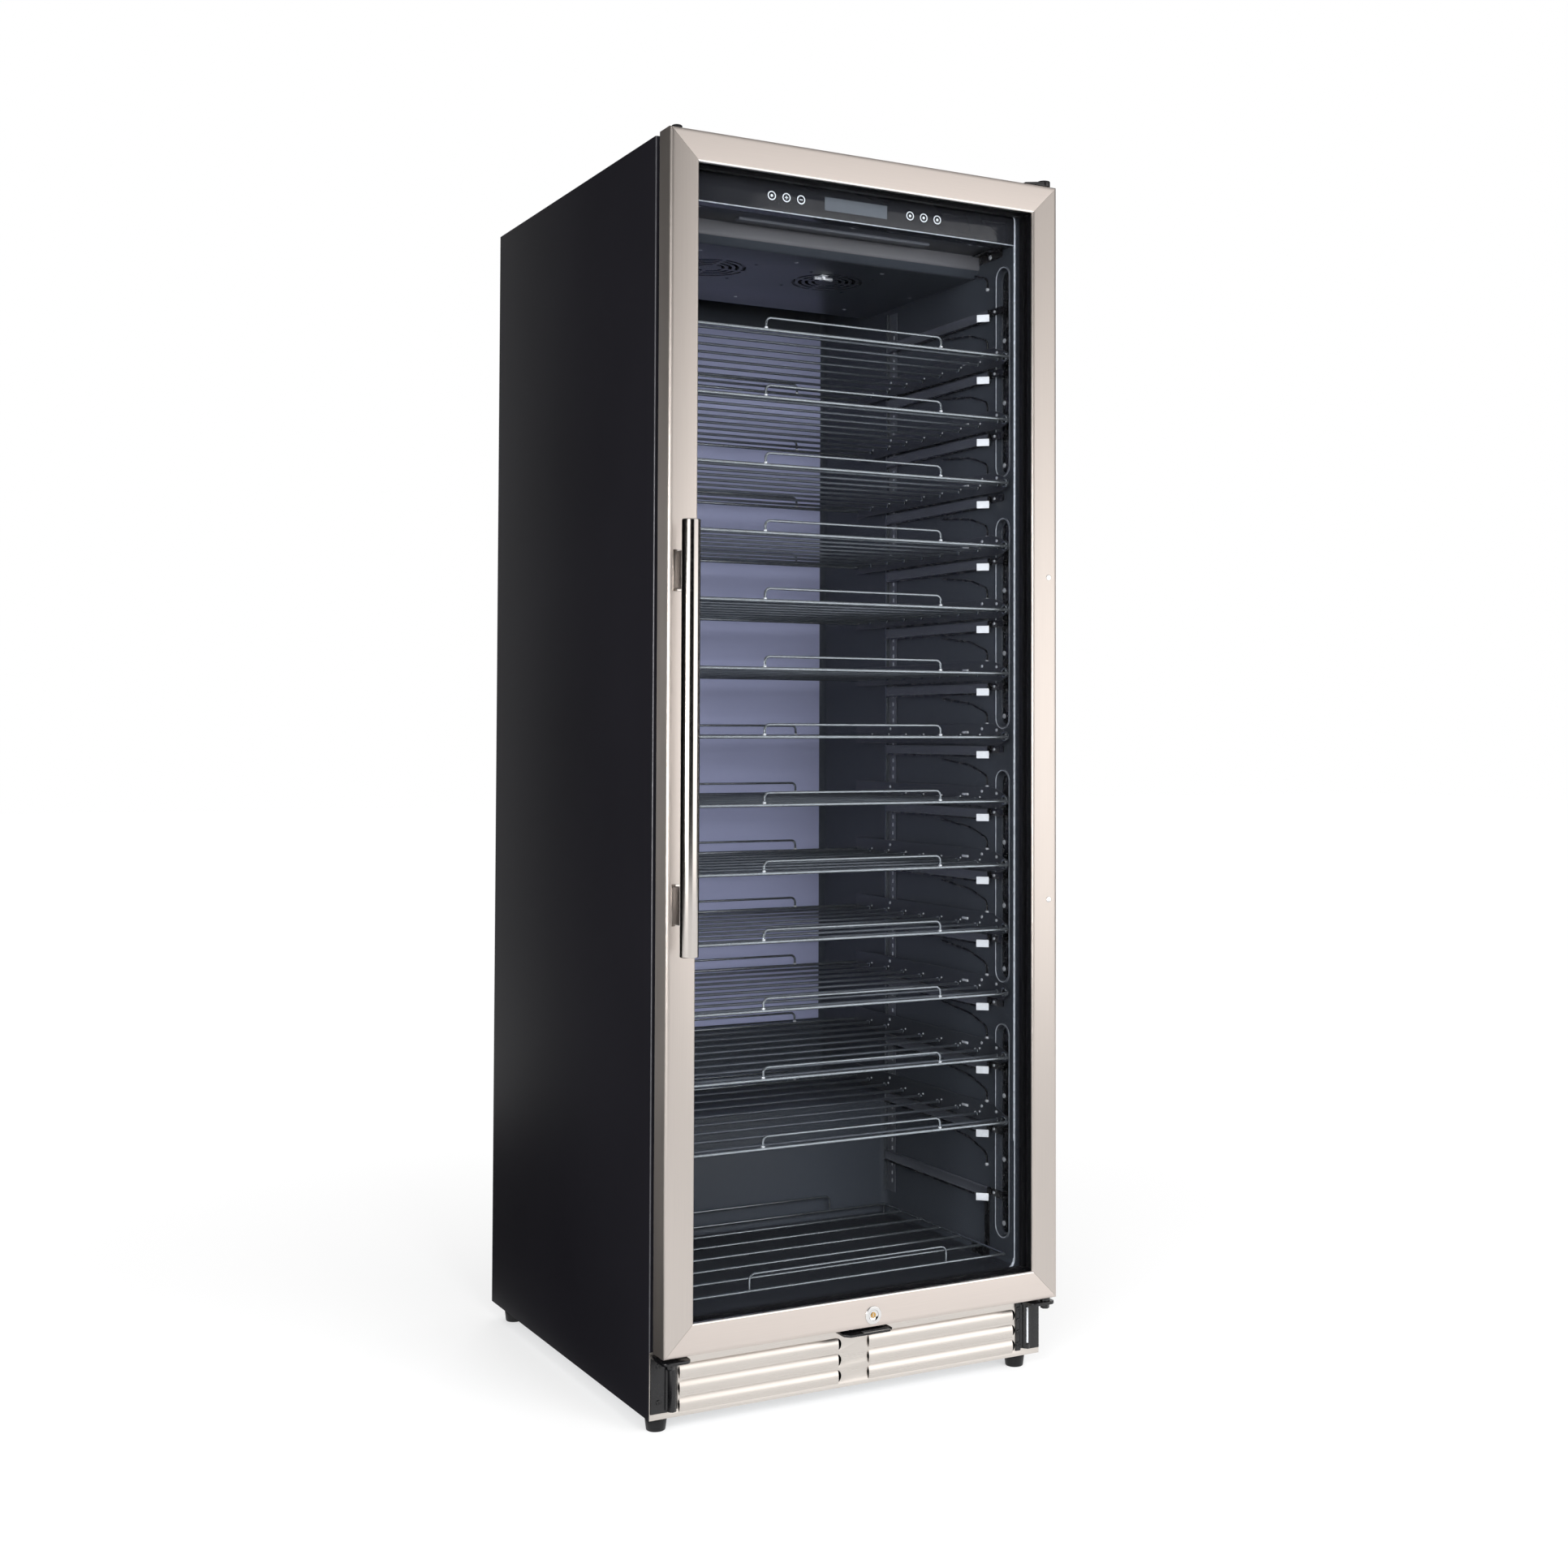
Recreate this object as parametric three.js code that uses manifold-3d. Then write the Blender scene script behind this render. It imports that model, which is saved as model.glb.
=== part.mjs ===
// Upright glass-door bottle refrigerator with thirteen sliding wire shelves.
// Millimetres, +Z up. X runs left to right as seen from the front and Y from front to back.
// The origin is on the floor, under the middle of the bounding box.

import * as THREE from 'three';
import { mergeVertices } from 'three/addons/utils/BufferGeometryUtils.js';
import Module from 'manifold-3d';

const wasm = await Module();
wasm.setup();

// ---------------------------------------------------------------- driving dimensions

const GAP = 0.3; // clearance between neighbouring pieces

// Cabinet. Heights are above the bottom of the kick grille, depths behind the cabinet's front.
const WIDTH = 595;
const DEPTH = 607;
const BODY_HEIGHT = 1641;
const FOOT_HEIGHT = 22;
const FOOT_RADIUS = 14.5;
const FOOT_INSET = 22; // foot centre to the outside of the cabinet
const FOOT_SETBACK = 28; // front feet behind the front of the cabinet
const FOOT_FROM_BACK = 42; // back feet in front of the back of the cabinet
const FOOT_PAD = 16; // thickness of the round pad
const FOOT_NECK_RADIUS = 9;
const FOOT_STEM = 4.7;
const FOOT_STEM_REACH = 12;
const SHEET = 1; // outer steel sheet
const FLANGE = 14; // folded edges of the outer sheets
const SIDE_WALL = 40.5; // outside of the cabinet to the inside of the liner
const BACK_WALL = 35;
const TOP_WALL = 30;
const LINER = 2;
const FLOOR = 122; // inside floor of the cavity
const STEP_DEPTH = 214; // step in the cavity over the compressor
const STEP_TOP = 300;
const STEP_WALL = 36;
const COVER_SLOT_ROWS = 8; // slots in the guard over the machine bay
const COVER_SLOT = 8;
const COVER_MARGIN = 30;
const COVER_RIB = 50; // plain strip between the two columns of slots
const GLAND_RADIUS = 9;
const GLAND_BORE = 4.5;
const GLAND_LENGTH = 14;

// Kick grille, strike plate and brackets below the door
const GRILLE_HEIGHT = 86;
const GRILLE_SHEET = 1.2;
const LOUVRE_ROWS = 3;
const LOUVRE_PITCH = 21;
const LOUVRE_HEIGHT = 9;
const LOUVRE_FIRST = 15; // lowest row above the bottom edge
const LOUVRE_LEAN = 5.5;
const LOUVRE_MARGIN = 40; // outer end of a louvre to the side of the cabinet
const LOUVRE_MIDDLE = 40; // plain strip between the two columns
const BRACKET_WIDTH = 39;
const BRACKET_SHEET = 2;
const BRACKET_BOTTOM = 8;
const ARM_THICKNESS = 4;
const ARM_GAP = 5; // top of the arm below the door
const RIB_INSET = 24; // round rib of a bracket from the side of the cabinet
const RIB_RADIUS = 6;
const ARM_NOSE = 9; // rounded end of an arm about the hinge axis
const TOP_ARM_WIDTH = 30;
const TOP_ARM_INSET = 5;
const TOP_ARM_BACK = 70;

// Door
const DOOR_THICKNESS = 34;
const DOOR_STANDOFF = 12.5; // back of the door to the front of the cabinet
const DOOR_BOTTOM = 88;
const DOOR_OVER_TOP = 1.5; // top of the door above the top of the cabinet
const BAND = 41; // visible width of the door frame
const SKIN = 2; // wall of the door frame profiles
const FRONT_LIP = 4; // frame in front of the glass
const GLASS_BITE = 12;
const GLASS_UNIT = 21.4; // two panes and the space between them
const PANE = 4;
const EDGE_RADIUS = 6;
const LIP_RADIUS = 2.5;
const SEAM = 0.15; // half of the joint line at each mitre
const GASKET_INSET = 14.5;
const GASKET_WIDTH = 18;
const PIN_INSET = 13.5; // hinge axis from the side of the door
const PIN_BEHIND = 10.5; // hinge axis behind the front of the door
const PIN_RADIUS = 4;
const PIN_REACH = 8;

// Handle
const HANDLE_LENGTH = 545;
const HANDLE_RADIUS = 12;
const HANDLE_STANDOFF = 39.5; // centre line in front of the door
const HANDLE_INSET = 13.5; // centre line from the side of the door
const POST_SPACING = 422;
const POST_HEIGHT = 48;
const POST_WIDTH = 10;

// Lock
const LOCK_X = 3;
const LOCK_RISE = 16; // lock centre above the bottom of the door
const LOCK_RING_RADIUS = 12;
const LOCK_RING = 1.5;
const LOCK_TUBE_RADIUS = 9.5;
const LOCK_BARREL_RADIUS = 7;
const KEY_SLOT = [1.6, 7, 4]; // width, height and depth
const CAM_LENGTH = 28;
const CAM_WIDTH = 9;
const CAM_THICKNESS = 4;
const CAM_BEHIND = 12.5; // front of the cam behind the front of the door
const STRIKE_WIDTH = 74;
const STRIKE_REACH = 40;
const STRIKE_SHEET = 3;
const STRIKE_LEVEL = 78;
const STRIKE_SLOT = 44;

// Shelf levels, runners and their posts
const LEVEL_COUNT = 16;
const LOWEST_LEVEL = 128.5;
const TOP_LEVEL_DROP = 58.5; // top level below the duct cover
const SHELVES_FROM_TOP = 1; // the first shelf is one level below the top level
const SHELF_COUNT = 13;
const POCKET_FRONT = 9;
const POCKET_WIDTH = 37;
const POCKET_DEPTH = 10;
const BRIDGE_HEIGHT = 62;
const LEVELS_PER_POCKET = 4;
const POST_SHEET = 1.5;
const PEG_SETBACK = 15; // peg of a runner behind the front of the pocket
const PEG_WIDTH = 8;
const REAR_POST_WIDTH = 24;
const REAR_POST_SETBACK = 6; // rear post in front of the step
const RUNNER_FRONT = 60;
const RUNNER_WIDTH = 4.9;
const RUNNER_HEIGHT = 14;

// Sliding shelves
const WIRE = 4;
const FENCE_WIRE = 3.5;
const SHELF_DEPTH = 438;
const SHELF_SETBACK = 1; // front of the shelf behind the front of the cabinet
const DECK_RISE = 17.5; // deck above the runner level
const FIRST_WIRE = 26;
const WIRE_PITCH = 52.2;
const CHEEK = 1.2;
const CHEEK_INSET = 9; // outside of a cheek to the liner
const CHEEK_RISE = 19; // top edge above the deck
const CHEEK_SLOPE = 40; // length of the sloped front corner
const FENCE_HEIGHT = 18;
const FENCE_HALF = 136;

// Rack on the floor of the cavity
const RACK_RISE = 19; // deck above the floor
const RACK_FRONT = 11;
const RACK_WIRES = 7;
const RACK_BACK_CLEARANCE = 10;
const RACK_FENCE_HALF = 151;
const RACK_FENCE_HEIGHT = 24;

// Controls, light and air duct under the ceiling
const FASCIA_HEIGHT = 46;
const FASCIA_DEPTH = 24;
const FASCIA_SETBACK = 2;
const FASCIA_WALL = 3;
const WINDOW_WIDTH = 98;
const WINDOW_HEIGHT = 19;
const WINDOW_DROP = 25; // window centre below the ceiling
const KEY_RADIUS = 7;
const KEY_SPACING = 22;
const KEY_GROUP = 107; // centre of each group of three keys from the middle
const KEY_LENGTH = 6;
const DUCT_HEIGHT = 74;
const DUCT_FRONT = 92;
const DUCT_LENGTH = 336;
const DUCT_SHEET = 1.5;
const TRAY_DROP = 43; // tray behind the fascia, below the ceiling
const FAN_SPACING = 191;
const FAN_MIDDLE = -22.5;
const FAN_BEHIND = 135; // fan centres behind the front of the duct
const FAN_RADIUS = 44;
const FAN_DEPTH = 16;
const FAN_FRAME = 100;
const FAN_FRAME_DEPTH = 22;
const FAN_BLADES = 5;
const FAN_HUB = 15;
const BLADE_LEAN = 0.275; // sideways reach of a blade's edge as a part of its depth
const FAN_MOTOR = 17;
const FAN_STRUT = 6;
const SLOT_RADII = [24, 40]; // rings of curved slots under each fan
const SLOT_WIDTH = 5;
const SLOT_BREAK = 0.28; // angle of metal between neighbouring slots, in radians
const LIGHT_LENGTH = 300;
const LIGHT_WIDTH = 14;
const LIGHT_HEIGHT = 4;
const LIGHT_BEFORE = 34; // front of the light in front of the duct
const EVAPORATOR_DEPTH = 115;
const EVAPORATOR_INSET = 50; // end of the evaporator from the side wall
const FINS = 12;
const AIR_PANEL_BOTTOM = 400;
const AIR_PANEL = 1.5;

// Cooling machinery
const BASE_SHEET = 1.5;
const COMPRESSOR_RADIUS = 74;
const COMPRESSOR_HEIGHT = 175;
const COMPRESSOR_X = -150;
const CONDENSER_WIDTH = 220;
const CONDENSER_HEIGHT = 216;
const CONDENSER_DEPTH = 44;
const CONDENSER_X = 140;
const CONDENSER_FAN_RADIUS = 80;
const CONDENSER_FAN_DEPTH = 22;
const CONDENSER_HUB = 24;
const CONDENSER_MOTOR = 26;

// ---------------------------------------------------------------- derived dimensions

const HALF = WIDTH / 2;
const INNER_HALF = HALF - SIDE_WALL;
const CAVITY_BACK = DEPTH - BACK_WALL;
const CEILING = BODY_HEIGHT - TOP_WALL;
const STEP_FRONT = CAVITY_BACK - STEP_DEPTH;
const DOOR_TOP = BODY_HEIGHT + DOOR_OVER_TOP;
const DOOR_BACK = -DOOR_STANDOFF;
const DOOR_FRONT = DOOR_BACK - DOOR_THICKNESS;
const HANDLE_Y = DOOR_FRONT - HANDLE_STANDOFF;
const FRONT_REACH = HANDLE_RADIUS - HANDLE_Y; // foremost point in front of the cabinet
const PIN_X = HALF - PIN_INSET;
const PIN_Y = DOOR_FRONT + PIN_BEHIND;
const DUCT_BOTTOM = CEILING - DUCT_HEIGHT;
const LEVEL_PITCH = (DUCT_BOTTOM - TOP_LEVEL_DROP - LOWEST_LEVEL) / (LEVEL_COUNT - 1);
const level = (n) => LOWEST_LEVEL + n * LEVEL_PITCH; // 0 is the lowest
const BAY_FRONT = STEP_FRONT + STEP_WALL;
const BAY_TOP = STEP_TOP - STEP_WALL;
const ARM_TOP = DOOR_BOTTOM - ARM_GAP;
const LOCK_Z = DOOR_BOTTOM + LOCK_RISE;
const FAR = 3000; // longer than any piece, for cutting tools

// ---------------------------------------------------------------- shape helpers

// A box between exact limits; each pair may be given in either order.
function block(x, y, z) {
  const geometry = new THREE.BoxGeometry(1, 1, 1);
  const corner = geometry.attributes.position;
  const pick = (pair, value) => (value < 0 ? Math.min(...pair) : Math.max(...pair));
  for (let i = 0; i < corner.count; i += 1) {
    corner.setXYZ(i, pick(x, corner.getX(i)), pick(y, corner.getY(i)), pick(z, corner.getZ(i)));
  }
  return geometry;
}

// Sends a prism's local point (a, b) at length c into place along the named axis.
const placers = {
  x: (a, b, c) => [c, a, b],
  y: (a, b, c) => [b, c, a],
  z: (a, b, c) => [a, b, c],
};

// A prism along an axis: the outline is (y, z) along x, (z, x) along y and (x, y) along z.
function prism(axis, outline, [from, to], segments = 6) {
  const shape = Array.isArray(outline)
    ? new THREE.Shape(outline.map(([a, b]) => new THREE.Vector2(a, b)))
    : outline;
  const options = { depth: 1, bevelEnabled: false, curveSegments: segments };
  const geometry = new THREE.ExtrudeGeometry(shape, options);
  const point = geometry.attributes.position;
  for (let i = 0; i < point.count; i += 1) {
    const along = point.getZ(i) > 0.5 ? to : from;
    point.setXYZ(i, ...placers[axis](point.getX(i), point.getY(i), along));
  }
  return geometry;
}

// A round bar along an axis, with its centre given in the prism's outline order.
function rod(axis, [a, b], radius, ends, sides = 20) {
  const outline = count(sides, (n) => {
    const turn = 2 * Math.PI * n / sides;
    return [a + radius * Math.cos(turn), b + radius * Math.sin(turn)];
  });
  return prism(axis, outline, ends);
}

// A closed manifold solid from a three.js geometry.
function asSolid(shape) {
  if (!shape.isBufferGeometry) {
    return shape;
  }
  const bare = shape.clone();
  bare.deleteAttribute('normal');
  bare.deleteAttribute('uv');
  const merged = mergeVertices(bare);
  const mesh = new wasm.Mesh({
    numProp: 3,
    vertProperties: new Float32Array(merged.attributes.position.array),
    triVerts: new Uint32Array(merged.index.array),
  });
  return new wasm.Manifold(mesh);
}

const join = (...parts) => parts.map(asSolid).reduce((whole, part) => whole.add(part));
const cut = (whole, ...tools) => tools.map(asSolid)
  .reduce((rest, tool) => rest.subtract(tool), asSolid(whole));

// A three.js geometry from a manifold solid.
function asGeometry(shape) {
  if (shape.isBufferGeometry) {
    return shape;
  }
  const { vertProperties, triVerts } = shape.getMesh();
  const geometry = new THREE.BufferGeometry();
  geometry.setAttribute('position', new THREE.BufferAttribute(vertProperties, 3));
  geometry.setIndex(new THREE.BufferAttribute(triVerts, 1));
  geometry.computeVertexNormals();
  return geometry;
}

// Limits of a cut that goes right through a sheet at some place on an axis.
const through = (place) => [place - 5, place + 5];

const both = (build) => [-1, 1].map(build);
const count = (n, build) => Array.from({ length: n }, (_, i) => build(i));

// ---------------------------------------------------------------- materials

const finish = (color, roughness, metalness, more = {}) => (
  new THREE.MeshStandardMaterial({ color, roughness, metalness, ...more })
);
const brushedSteel = finish(0xd6cec8, 0.32, 1);
const polishedSteel = finish(0xd9d6d2, 0.15, 1);
const blackPaint = finish(0x1e1e22, 0.45, 0.1);
const blackPlastic = finish(0x141416, 0.5, 0);
const linerPlastic = finish(0x282c32, 0.25, 0);
const blackWire = finish(0x2b3034, 0.3, 0.3);
const galvanised = finish(0xa8acb0, 0.5, 0.9);
const foam = finish(0xd8cf9a, 0.9, 0);
const glass = finish(0x9aa4aa, 0.03, 0, { transparent: true, opacity: 0.25 });
const glossBlack = finish(0x1b1c20, 0.12, 0);
const display = finish(0x4c5558, 0.2, 0);
const keyWhite = finish(0xb9bec2, 0.4, 0);
const aluminium = finish(0xc4c7ca, 0.4, 1);
const airPanel = finish(0x8486aa, 0.35, 0.2);
const lightDiffuser = finish(0xe8ecff, 0.3, 0);
const blackSteel = finish(0x18181a, 0.4, 0.6);

// ---------------------------------------------------------------- scene graph

const refrigerator = new THREE.Group();
const cabinet = new THREE.Group();
cabinet.position.set(0, (FRONT_REACH - DEPTH) / 2, FOOT_HEIGHT);
refrigerator.add(cabinet);

function add(name, shape, material, parent = cabinet) {
  const mesh = new THREE.Mesh(asGeometry(shape), material);
  mesh.name = name;
  parent.add(mesh);
  return mesh;
}

// ---------------------------------------------------------------- outer sheets

// One side sheet, folded inwards along its front and back edges.
function sidePanel(side) {
  const outline = [
    [HALF, 0],
    [HALF, DEPTH],
    [HALF - FLANGE, DEPTH],
    [HALF - FLANGE, DEPTH - SHEET],
    [HALF - SHEET, DEPTH - SHEET],
    [HALF - SHEET, SHEET],
    [HALF - FLANGE, SHEET],
    [HALF - FLANGE, 0],
  ];
  const mirrored = outline.map(([x, y]) => [side * x, y]);
  return prism('z', mirrored, [0, BODY_HEIGHT]);
}

function topPanel() {
  const half = HALF - SHEET - GAP;
  const foldHalf = HALF - FLANGE - GAP;
  const fold = [BODY_HEIGHT - FLANGE, BODY_HEIGHT];
  return join(
    block([-half, half], [SHEET + GAP, DEPTH - SHEET - GAP], [BODY_HEIGHT - SHEET, BODY_HEIGHT]),
    block([-foldHalf, foldHalf], [0, DEPTH], [BODY_HEIGHT - SHEET, BODY_HEIGHT]),
    block([-foldHalf, foldHalf], [0, SHEET], fold),
    block([-foldHalf, foldHalf], [DEPTH - SHEET, DEPTH], fold),
  );
}

function backPanel() {
  const half = HALF - FLANGE - GAP;
  return block([-half, half], [DEPTH - SHEET, DEPTH], [BAY_TOP, BODY_HEIGHT - FLANGE - GAP]);
}

// Slotted guard over the machine bay, with the gland for the supply cord.
function rearCover() {
  const half = HALF - FLANGE - GAP;
  const [bottom, top] = [BASE_SHEET + GAP, BAY_TOP - GAP];
  const pitch = (top - bottom - 2 * COVER_MARGIN) / (COVER_SLOT_ROWS - 1);
  const slots = both((side) => count(COVER_SLOT_ROWS, (row) => {
    const z = bottom + COVER_MARGIN + row * pitch;
    const slotX = [side * COVER_RIB / 2, side * (half - COVER_MARGIN)];
    return block(slotX, through(DEPTH), [z - COVER_SLOT / 2, z + COVER_SLOT / 2]);
  })).flat();
  const gland = [bottom + COVER_MARGIN / 2, 0];
  const guard = block([-half, half], [DEPTH - SHEET, DEPTH], [bottom, top]);
  const boss = rod('y', gland, GLAND_RADIUS, [DEPTH - GLAND_LENGTH, DEPTH], 16);
  const bore = rod('y', gland, GLAND_BORE, [DEPTH - GLAND_LENGTH - 1, DEPTH + 1], 16);
  return cut(join(guard, boss), ...slots, bore);
}

const footPlaces = [
  ['foot_front_left', -1, FOOT_SETBACK],
  ['foot_front_right', 1, FOOT_SETBACK],
  ['foot_back_left', -1, DEPTH - FOOT_FROM_BACK],
  ['foot_back_right', 1, DEPTH - FOOT_FROM_BACK],
];

function basePlate() {
  const half = HALF - SHEET - GAP;
  const lip = 16;
  const [front, back] = [SHEET + GAP, DEPTH - SHEET - GAP];
  const holes = footPlaces.map(([, side, y]) => (
    rod('z', [side * (HALF - FOOT_INSET), y], FOOT_STEM + GAP, through(0), 12)
  ));
  const lips = both((side) => (
    block([side * half, side * (half - BASE_SHEET)], [front, back], [0, lip])
  ));
  return cut(join(block([-half, half], [front, back], [0, BASE_SHEET]), ...lips), ...holes);
}

// A levelling foot: pad, neck and threaded stem.
function foot(side, y) {
  const centre = [side * (HALF - FOOT_INSET), y];
  const padTop = FOOT_PAD - FOOT_HEIGHT;
  return join(
    rod('z', centre, FOOT_RADIUS, [-FOOT_HEIGHT, padTop], 20),
    rod('z', centre, FOOT_NECK_RADIUS, [padTop, 0], 12),
    rod('z', centre, FOOT_STEM, [0, FOOT_STEM_REACH], 12),
  );
}

// ---------------------------------------------------------------- liner and insulation

const pocketBottom = level(0) + BRIDGE_HEIGHT / 2;
const pocketTop = DUCT_BOTTOM + 2;
const pocketY = [POCKET_FRONT, POCKET_FRONT + POCKET_WIDTH];
const pegY = [pocketY[0] + PEG_SETBACK, pocketY[0] + PEG_SETBACK + PEG_WIDTH];
const bridgeLevels = count(
  Math.floor((LEVEL_COUNT - 1) / LEVELS_PER_POCKET),
  (n) => (n + 1) * LEVELS_PER_POCKET,
);

// The recess for the front post in one side wall, grown by a margin.
function pocket(side, margin) {
  return block(
    [side * (INNER_HALF - 1), side * (INNER_HALF + POCKET_DEPTH + margin)],
    [pocketY[0] - margin, pocketY[1] + margin],
    [pocketBottom - margin, pocketTop + margin],
  );
}

// Everything inside the liner's skin when the skin is grown by a margin.
function cavity(margin) {
  const half = INNER_HALF + margin;
  const room = block([-half, half], [-FAR, CAVITY_BACK + margin], [FLOOR - margin, CEILING + margin]);
  const step = block([-FAR, FAR], [STEP_FRONT + margin, FAR], [-FAR, STEP_TOP - margin]);
  return join(cut(room, step), ...both((side) => pocket(side, margin)));
}

const behindFront = (y) => block([-FAR, FAR], [y, FAR], [-FAR, FAR]);

// One strip of the side wall left standing over the pocket, with a hole for the runner's peg.
function bridge(side, n) {
  const middle = level(n);
  const skin = [side * INNER_HALF, side * (INNER_HALF + POST_SHEET)];
  const strip = block(skin, [pocketY[0] - 1, pocketY[1] + 1],
    [middle - BRIDGE_HEIGHT / 2, middle + BRIDGE_HEIGHT / 2]);
  const hole = block([-FAR, FAR], [pegY[0] - 2, pegY[1] + 2], [middle - 5, middle + 5]);
  return cut(strip, hole);
}

function innerLiner() {
  const rimHalf = HALF - FLANGE - GAP;
  const rim = block([-rimHalf, rimHalf], [0, LINER], [DOOR_BOTTOM, BODY_HEIGHT - FLANGE - GAP]);
  const skin = cavity(LINER).intersect(asSolid(behindFront(0)));
  const bridges = both((side) => bridgeLevels.map((n) => bridge(side, n))).flat();
  return join(cut(join(skin, rim), cavity(0)), ...bridges);
}

function foamInsulation() {
  const half = HALF - SHEET - GAP;
  const front = LINER + GAP;
  const whole = block([-half, half], [front, DEPTH - SHEET - GAP],
    [DOOR_BOTTOM, BODY_HEIGHT - SHEET - GAP]);
  const bay = block([-FAR, FAR], [BAY_FRONT, FAR], [-FAR, BAY_TOP]);
  return cut(whole, cavity(LINER + GAP), bay);
}

// ---------------------------------------------------------------- kick grille and strike plate

function kickGrille() {
  const sheetY = [-GRILLE_SHEET, 0];
  const plate = block([-HALF, HALF], sheetY, [0, GRILLE_HEIGHT]);
  const openings = [];
  const blades = [];
  for (const side of [-1, 1]) {
    for (let row = 0; row < LOUVRE_ROWS; row += 1) {
      const middle = LOUVRE_FIRST + row * LOUVRE_PITCH;
      const [low, high] = [middle - LOUVRE_HEIGHT / 2, middle + LOUVRE_HEIGHT / 2];
      const x = [side * LOUVRE_MIDDLE / 2, side * (HALF - LOUVRE_MARGIN)];
      const ends = [Math.min(...x), Math.max(...x)];
      openings.push(block(ends, through(0), [low, high]));
      const blade = [
        [-GRILLE_SHEET, low - 1],
        [0, low - 1],
        [LOUVRE_LEAN + 1, high],
        [LOUVRE_LEAN, high],
        [-GRILLE_SHEET, low],
      ];
      blades.push(prism('x', blade, [ends[0] + 1, ends[1] - 3]));
    }
  }
  return join(cut(plate, ...openings), ...blades);
}

// Plate under the door with a slot that takes the lock's cam.
function strikePlate() {
  const low = STRIKE_LEVEL - STRIKE_SHEET / 2;
  const high = STRIKE_LEVEL + STRIKE_SHEET / 2;
  const x = [LOCK_X - STRIKE_WIDTH / 2, LOCK_X + STRIKE_WIDTH / 2];
  const root = -GRILLE_SHEET;
  const camMiddle = DOOR_FRONT + CAM_BEHIND + CAM_THICKNESS / 2;
  const slotX = [LOCK_X - CAM_WIDTH, LOCK_X - CAM_WIDTH + STRIKE_SLOT];
  const slotY = [camMiddle - CAM_THICKNESS, camMiddle + CAM_THICKNESS];
  return cut(
    join(
      block(x, [-STRIKE_REACH, root], [low, high]),
      block(x, [root - STRIKE_SHEET / 2, root], [low, GRILLE_HEIGHT]),
    ),
    block(slotX, slotY, through(STRIKE_LEVEL)),
  );
}

// ---------------------------------------------------------------- hinges

// Bracket on the kick grille with an arm under the door. The right one carries the door on its
// pin; the left one is the spare for hanging the door the other way, with a stub in place of it.
function lowerHinge(side, hasPin) {
  const outer = side * (HALF - 1);
  const inner = side * (HALF - 1 - BRACKET_WIDTH);
  const face = -GRILLE_SHEET - BRACKET_SHEET;
  const pinX = side * PIN_X;
  const ribX = side * (HALF - RIB_INSET);
  const ribTop = ARM_TOP - ARM_THICKNESS;
  const plate = block([inner, outer], [face, -GRILLE_SHEET], [BRACKET_BOTTOM, ARM_TOP]);
  const arm = block([inner, outer], [PIN_Y - ARM_NOSE, -GRILLE_SHEET], [ribTop, ARM_TOP]);
  const rib = rod('z', [ribX, face], RIB_RADIUS, [BRACKET_BOTTOM + 3, ribTop], 12);
  const ribFront = block([-FAR, FAR], [-FAR, face], [-FAR, FAR]);
  const nut = rod('z', [pinX, PIN_Y], 6.5, [ribTop - 6, ribTop], 6);
  const collar = rod('z', [pinX, PIN_Y], 7, [ARM_TOP, DOOR_BOTTOM - GAP], 16);
  const pin = rod('z', [pinX, PIN_Y], PIN_RADIUS, [ARM_TOP, DOOR_BOTTOM + PIN_REACH], 16);
  const ribHalf = asSolid(rib).intersect(asSolid(ribFront));
  const fastened = join(plate, arm, ribHalf, nut);
  return hasPin ? join(fastened, collar, pin) : fastened;
}

// Bracket on the cabinet's top with an arm over the door and a pin down into the top rail.
function topHinge() {
  const low = DOOR_TOP + 0.5;
  const armTop = low + 3;
  const outer = HALF - TOP_ARM_INSET;
  const inner = outer - TOP_ARM_WIDTH;
  const arm = new THREE.Shape();
  arm.moveTo(inner, TOP_ARM_BACK);
  arm.lineTo(PIN_X - ARM_NOSE, PIN_Y);
  arm.absarc(PIN_X, PIN_Y, ARM_NOSE, Math.PI, 2 * Math.PI);
  arm.lineTo(outer, TOP_ARM_BACK);
  return join(
    block([inner, outer], [6, TOP_ARM_BACK], [BODY_HEIGHT, armTop]),
    prism('z', arm, [low, armTop], 4),
    rod('z', [PIN_X, PIN_Y], ARM_NOSE, [low, low + 8], 20),
    rod('z', [PIN_X, PIN_Y], PIN_RADIUS, [DOOR_TOP - PIN_REACH, low], 16),
  );
}

// ---------------------------------------------------------------- door

// Section of the door frame: across is from the front face back, up is from the outer edge in.
function frameSection() {
  const groove = FRONT_LIP + GLASS_UNIT + 2 * GAP;
  const bite = BAND - GLASS_BITE;
  const section = new THREE.Shape();
  section.moveTo(EDGE_RADIUS, 0);
  section.lineTo(DOOR_THICKNESS, 0);
  section.lineTo(DOOR_THICKNESS, BAND);
  section.lineTo(groove, BAND);
  section.lineTo(groove, bite);
  section.lineTo(FRONT_LIP, bite);
  section.lineTo(FRONT_LIP, BAND);
  section.lineTo(LIP_RADIUS, BAND);
  section.absarc(LIP_RADIUS, BAND - LIP_RADIUS, LIP_RADIUS, Math.PI / 2, Math.PI);
  section.lineTo(0, EDGE_RADIUS);
  section.absarc(EDGE_RADIUS, EDGE_RADIUS, EDGE_RADIUS, Math.PI, 1.5 * Math.PI);
  const hollow = [[SKIN, EDGE_RADIUS], [EDGE_RADIUS, SKIN], [DOOR_THICKNESS - SKIN, SKIN],
    [DOOR_THICKNESS - SKIN, bite - SKIN], [SKIN, bite - SKIN]];
  section.holes.push(new THREE.Path(hollow.map(([a, b]) => new THREE.Vector2(a, b))));
  return section;
}

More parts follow.
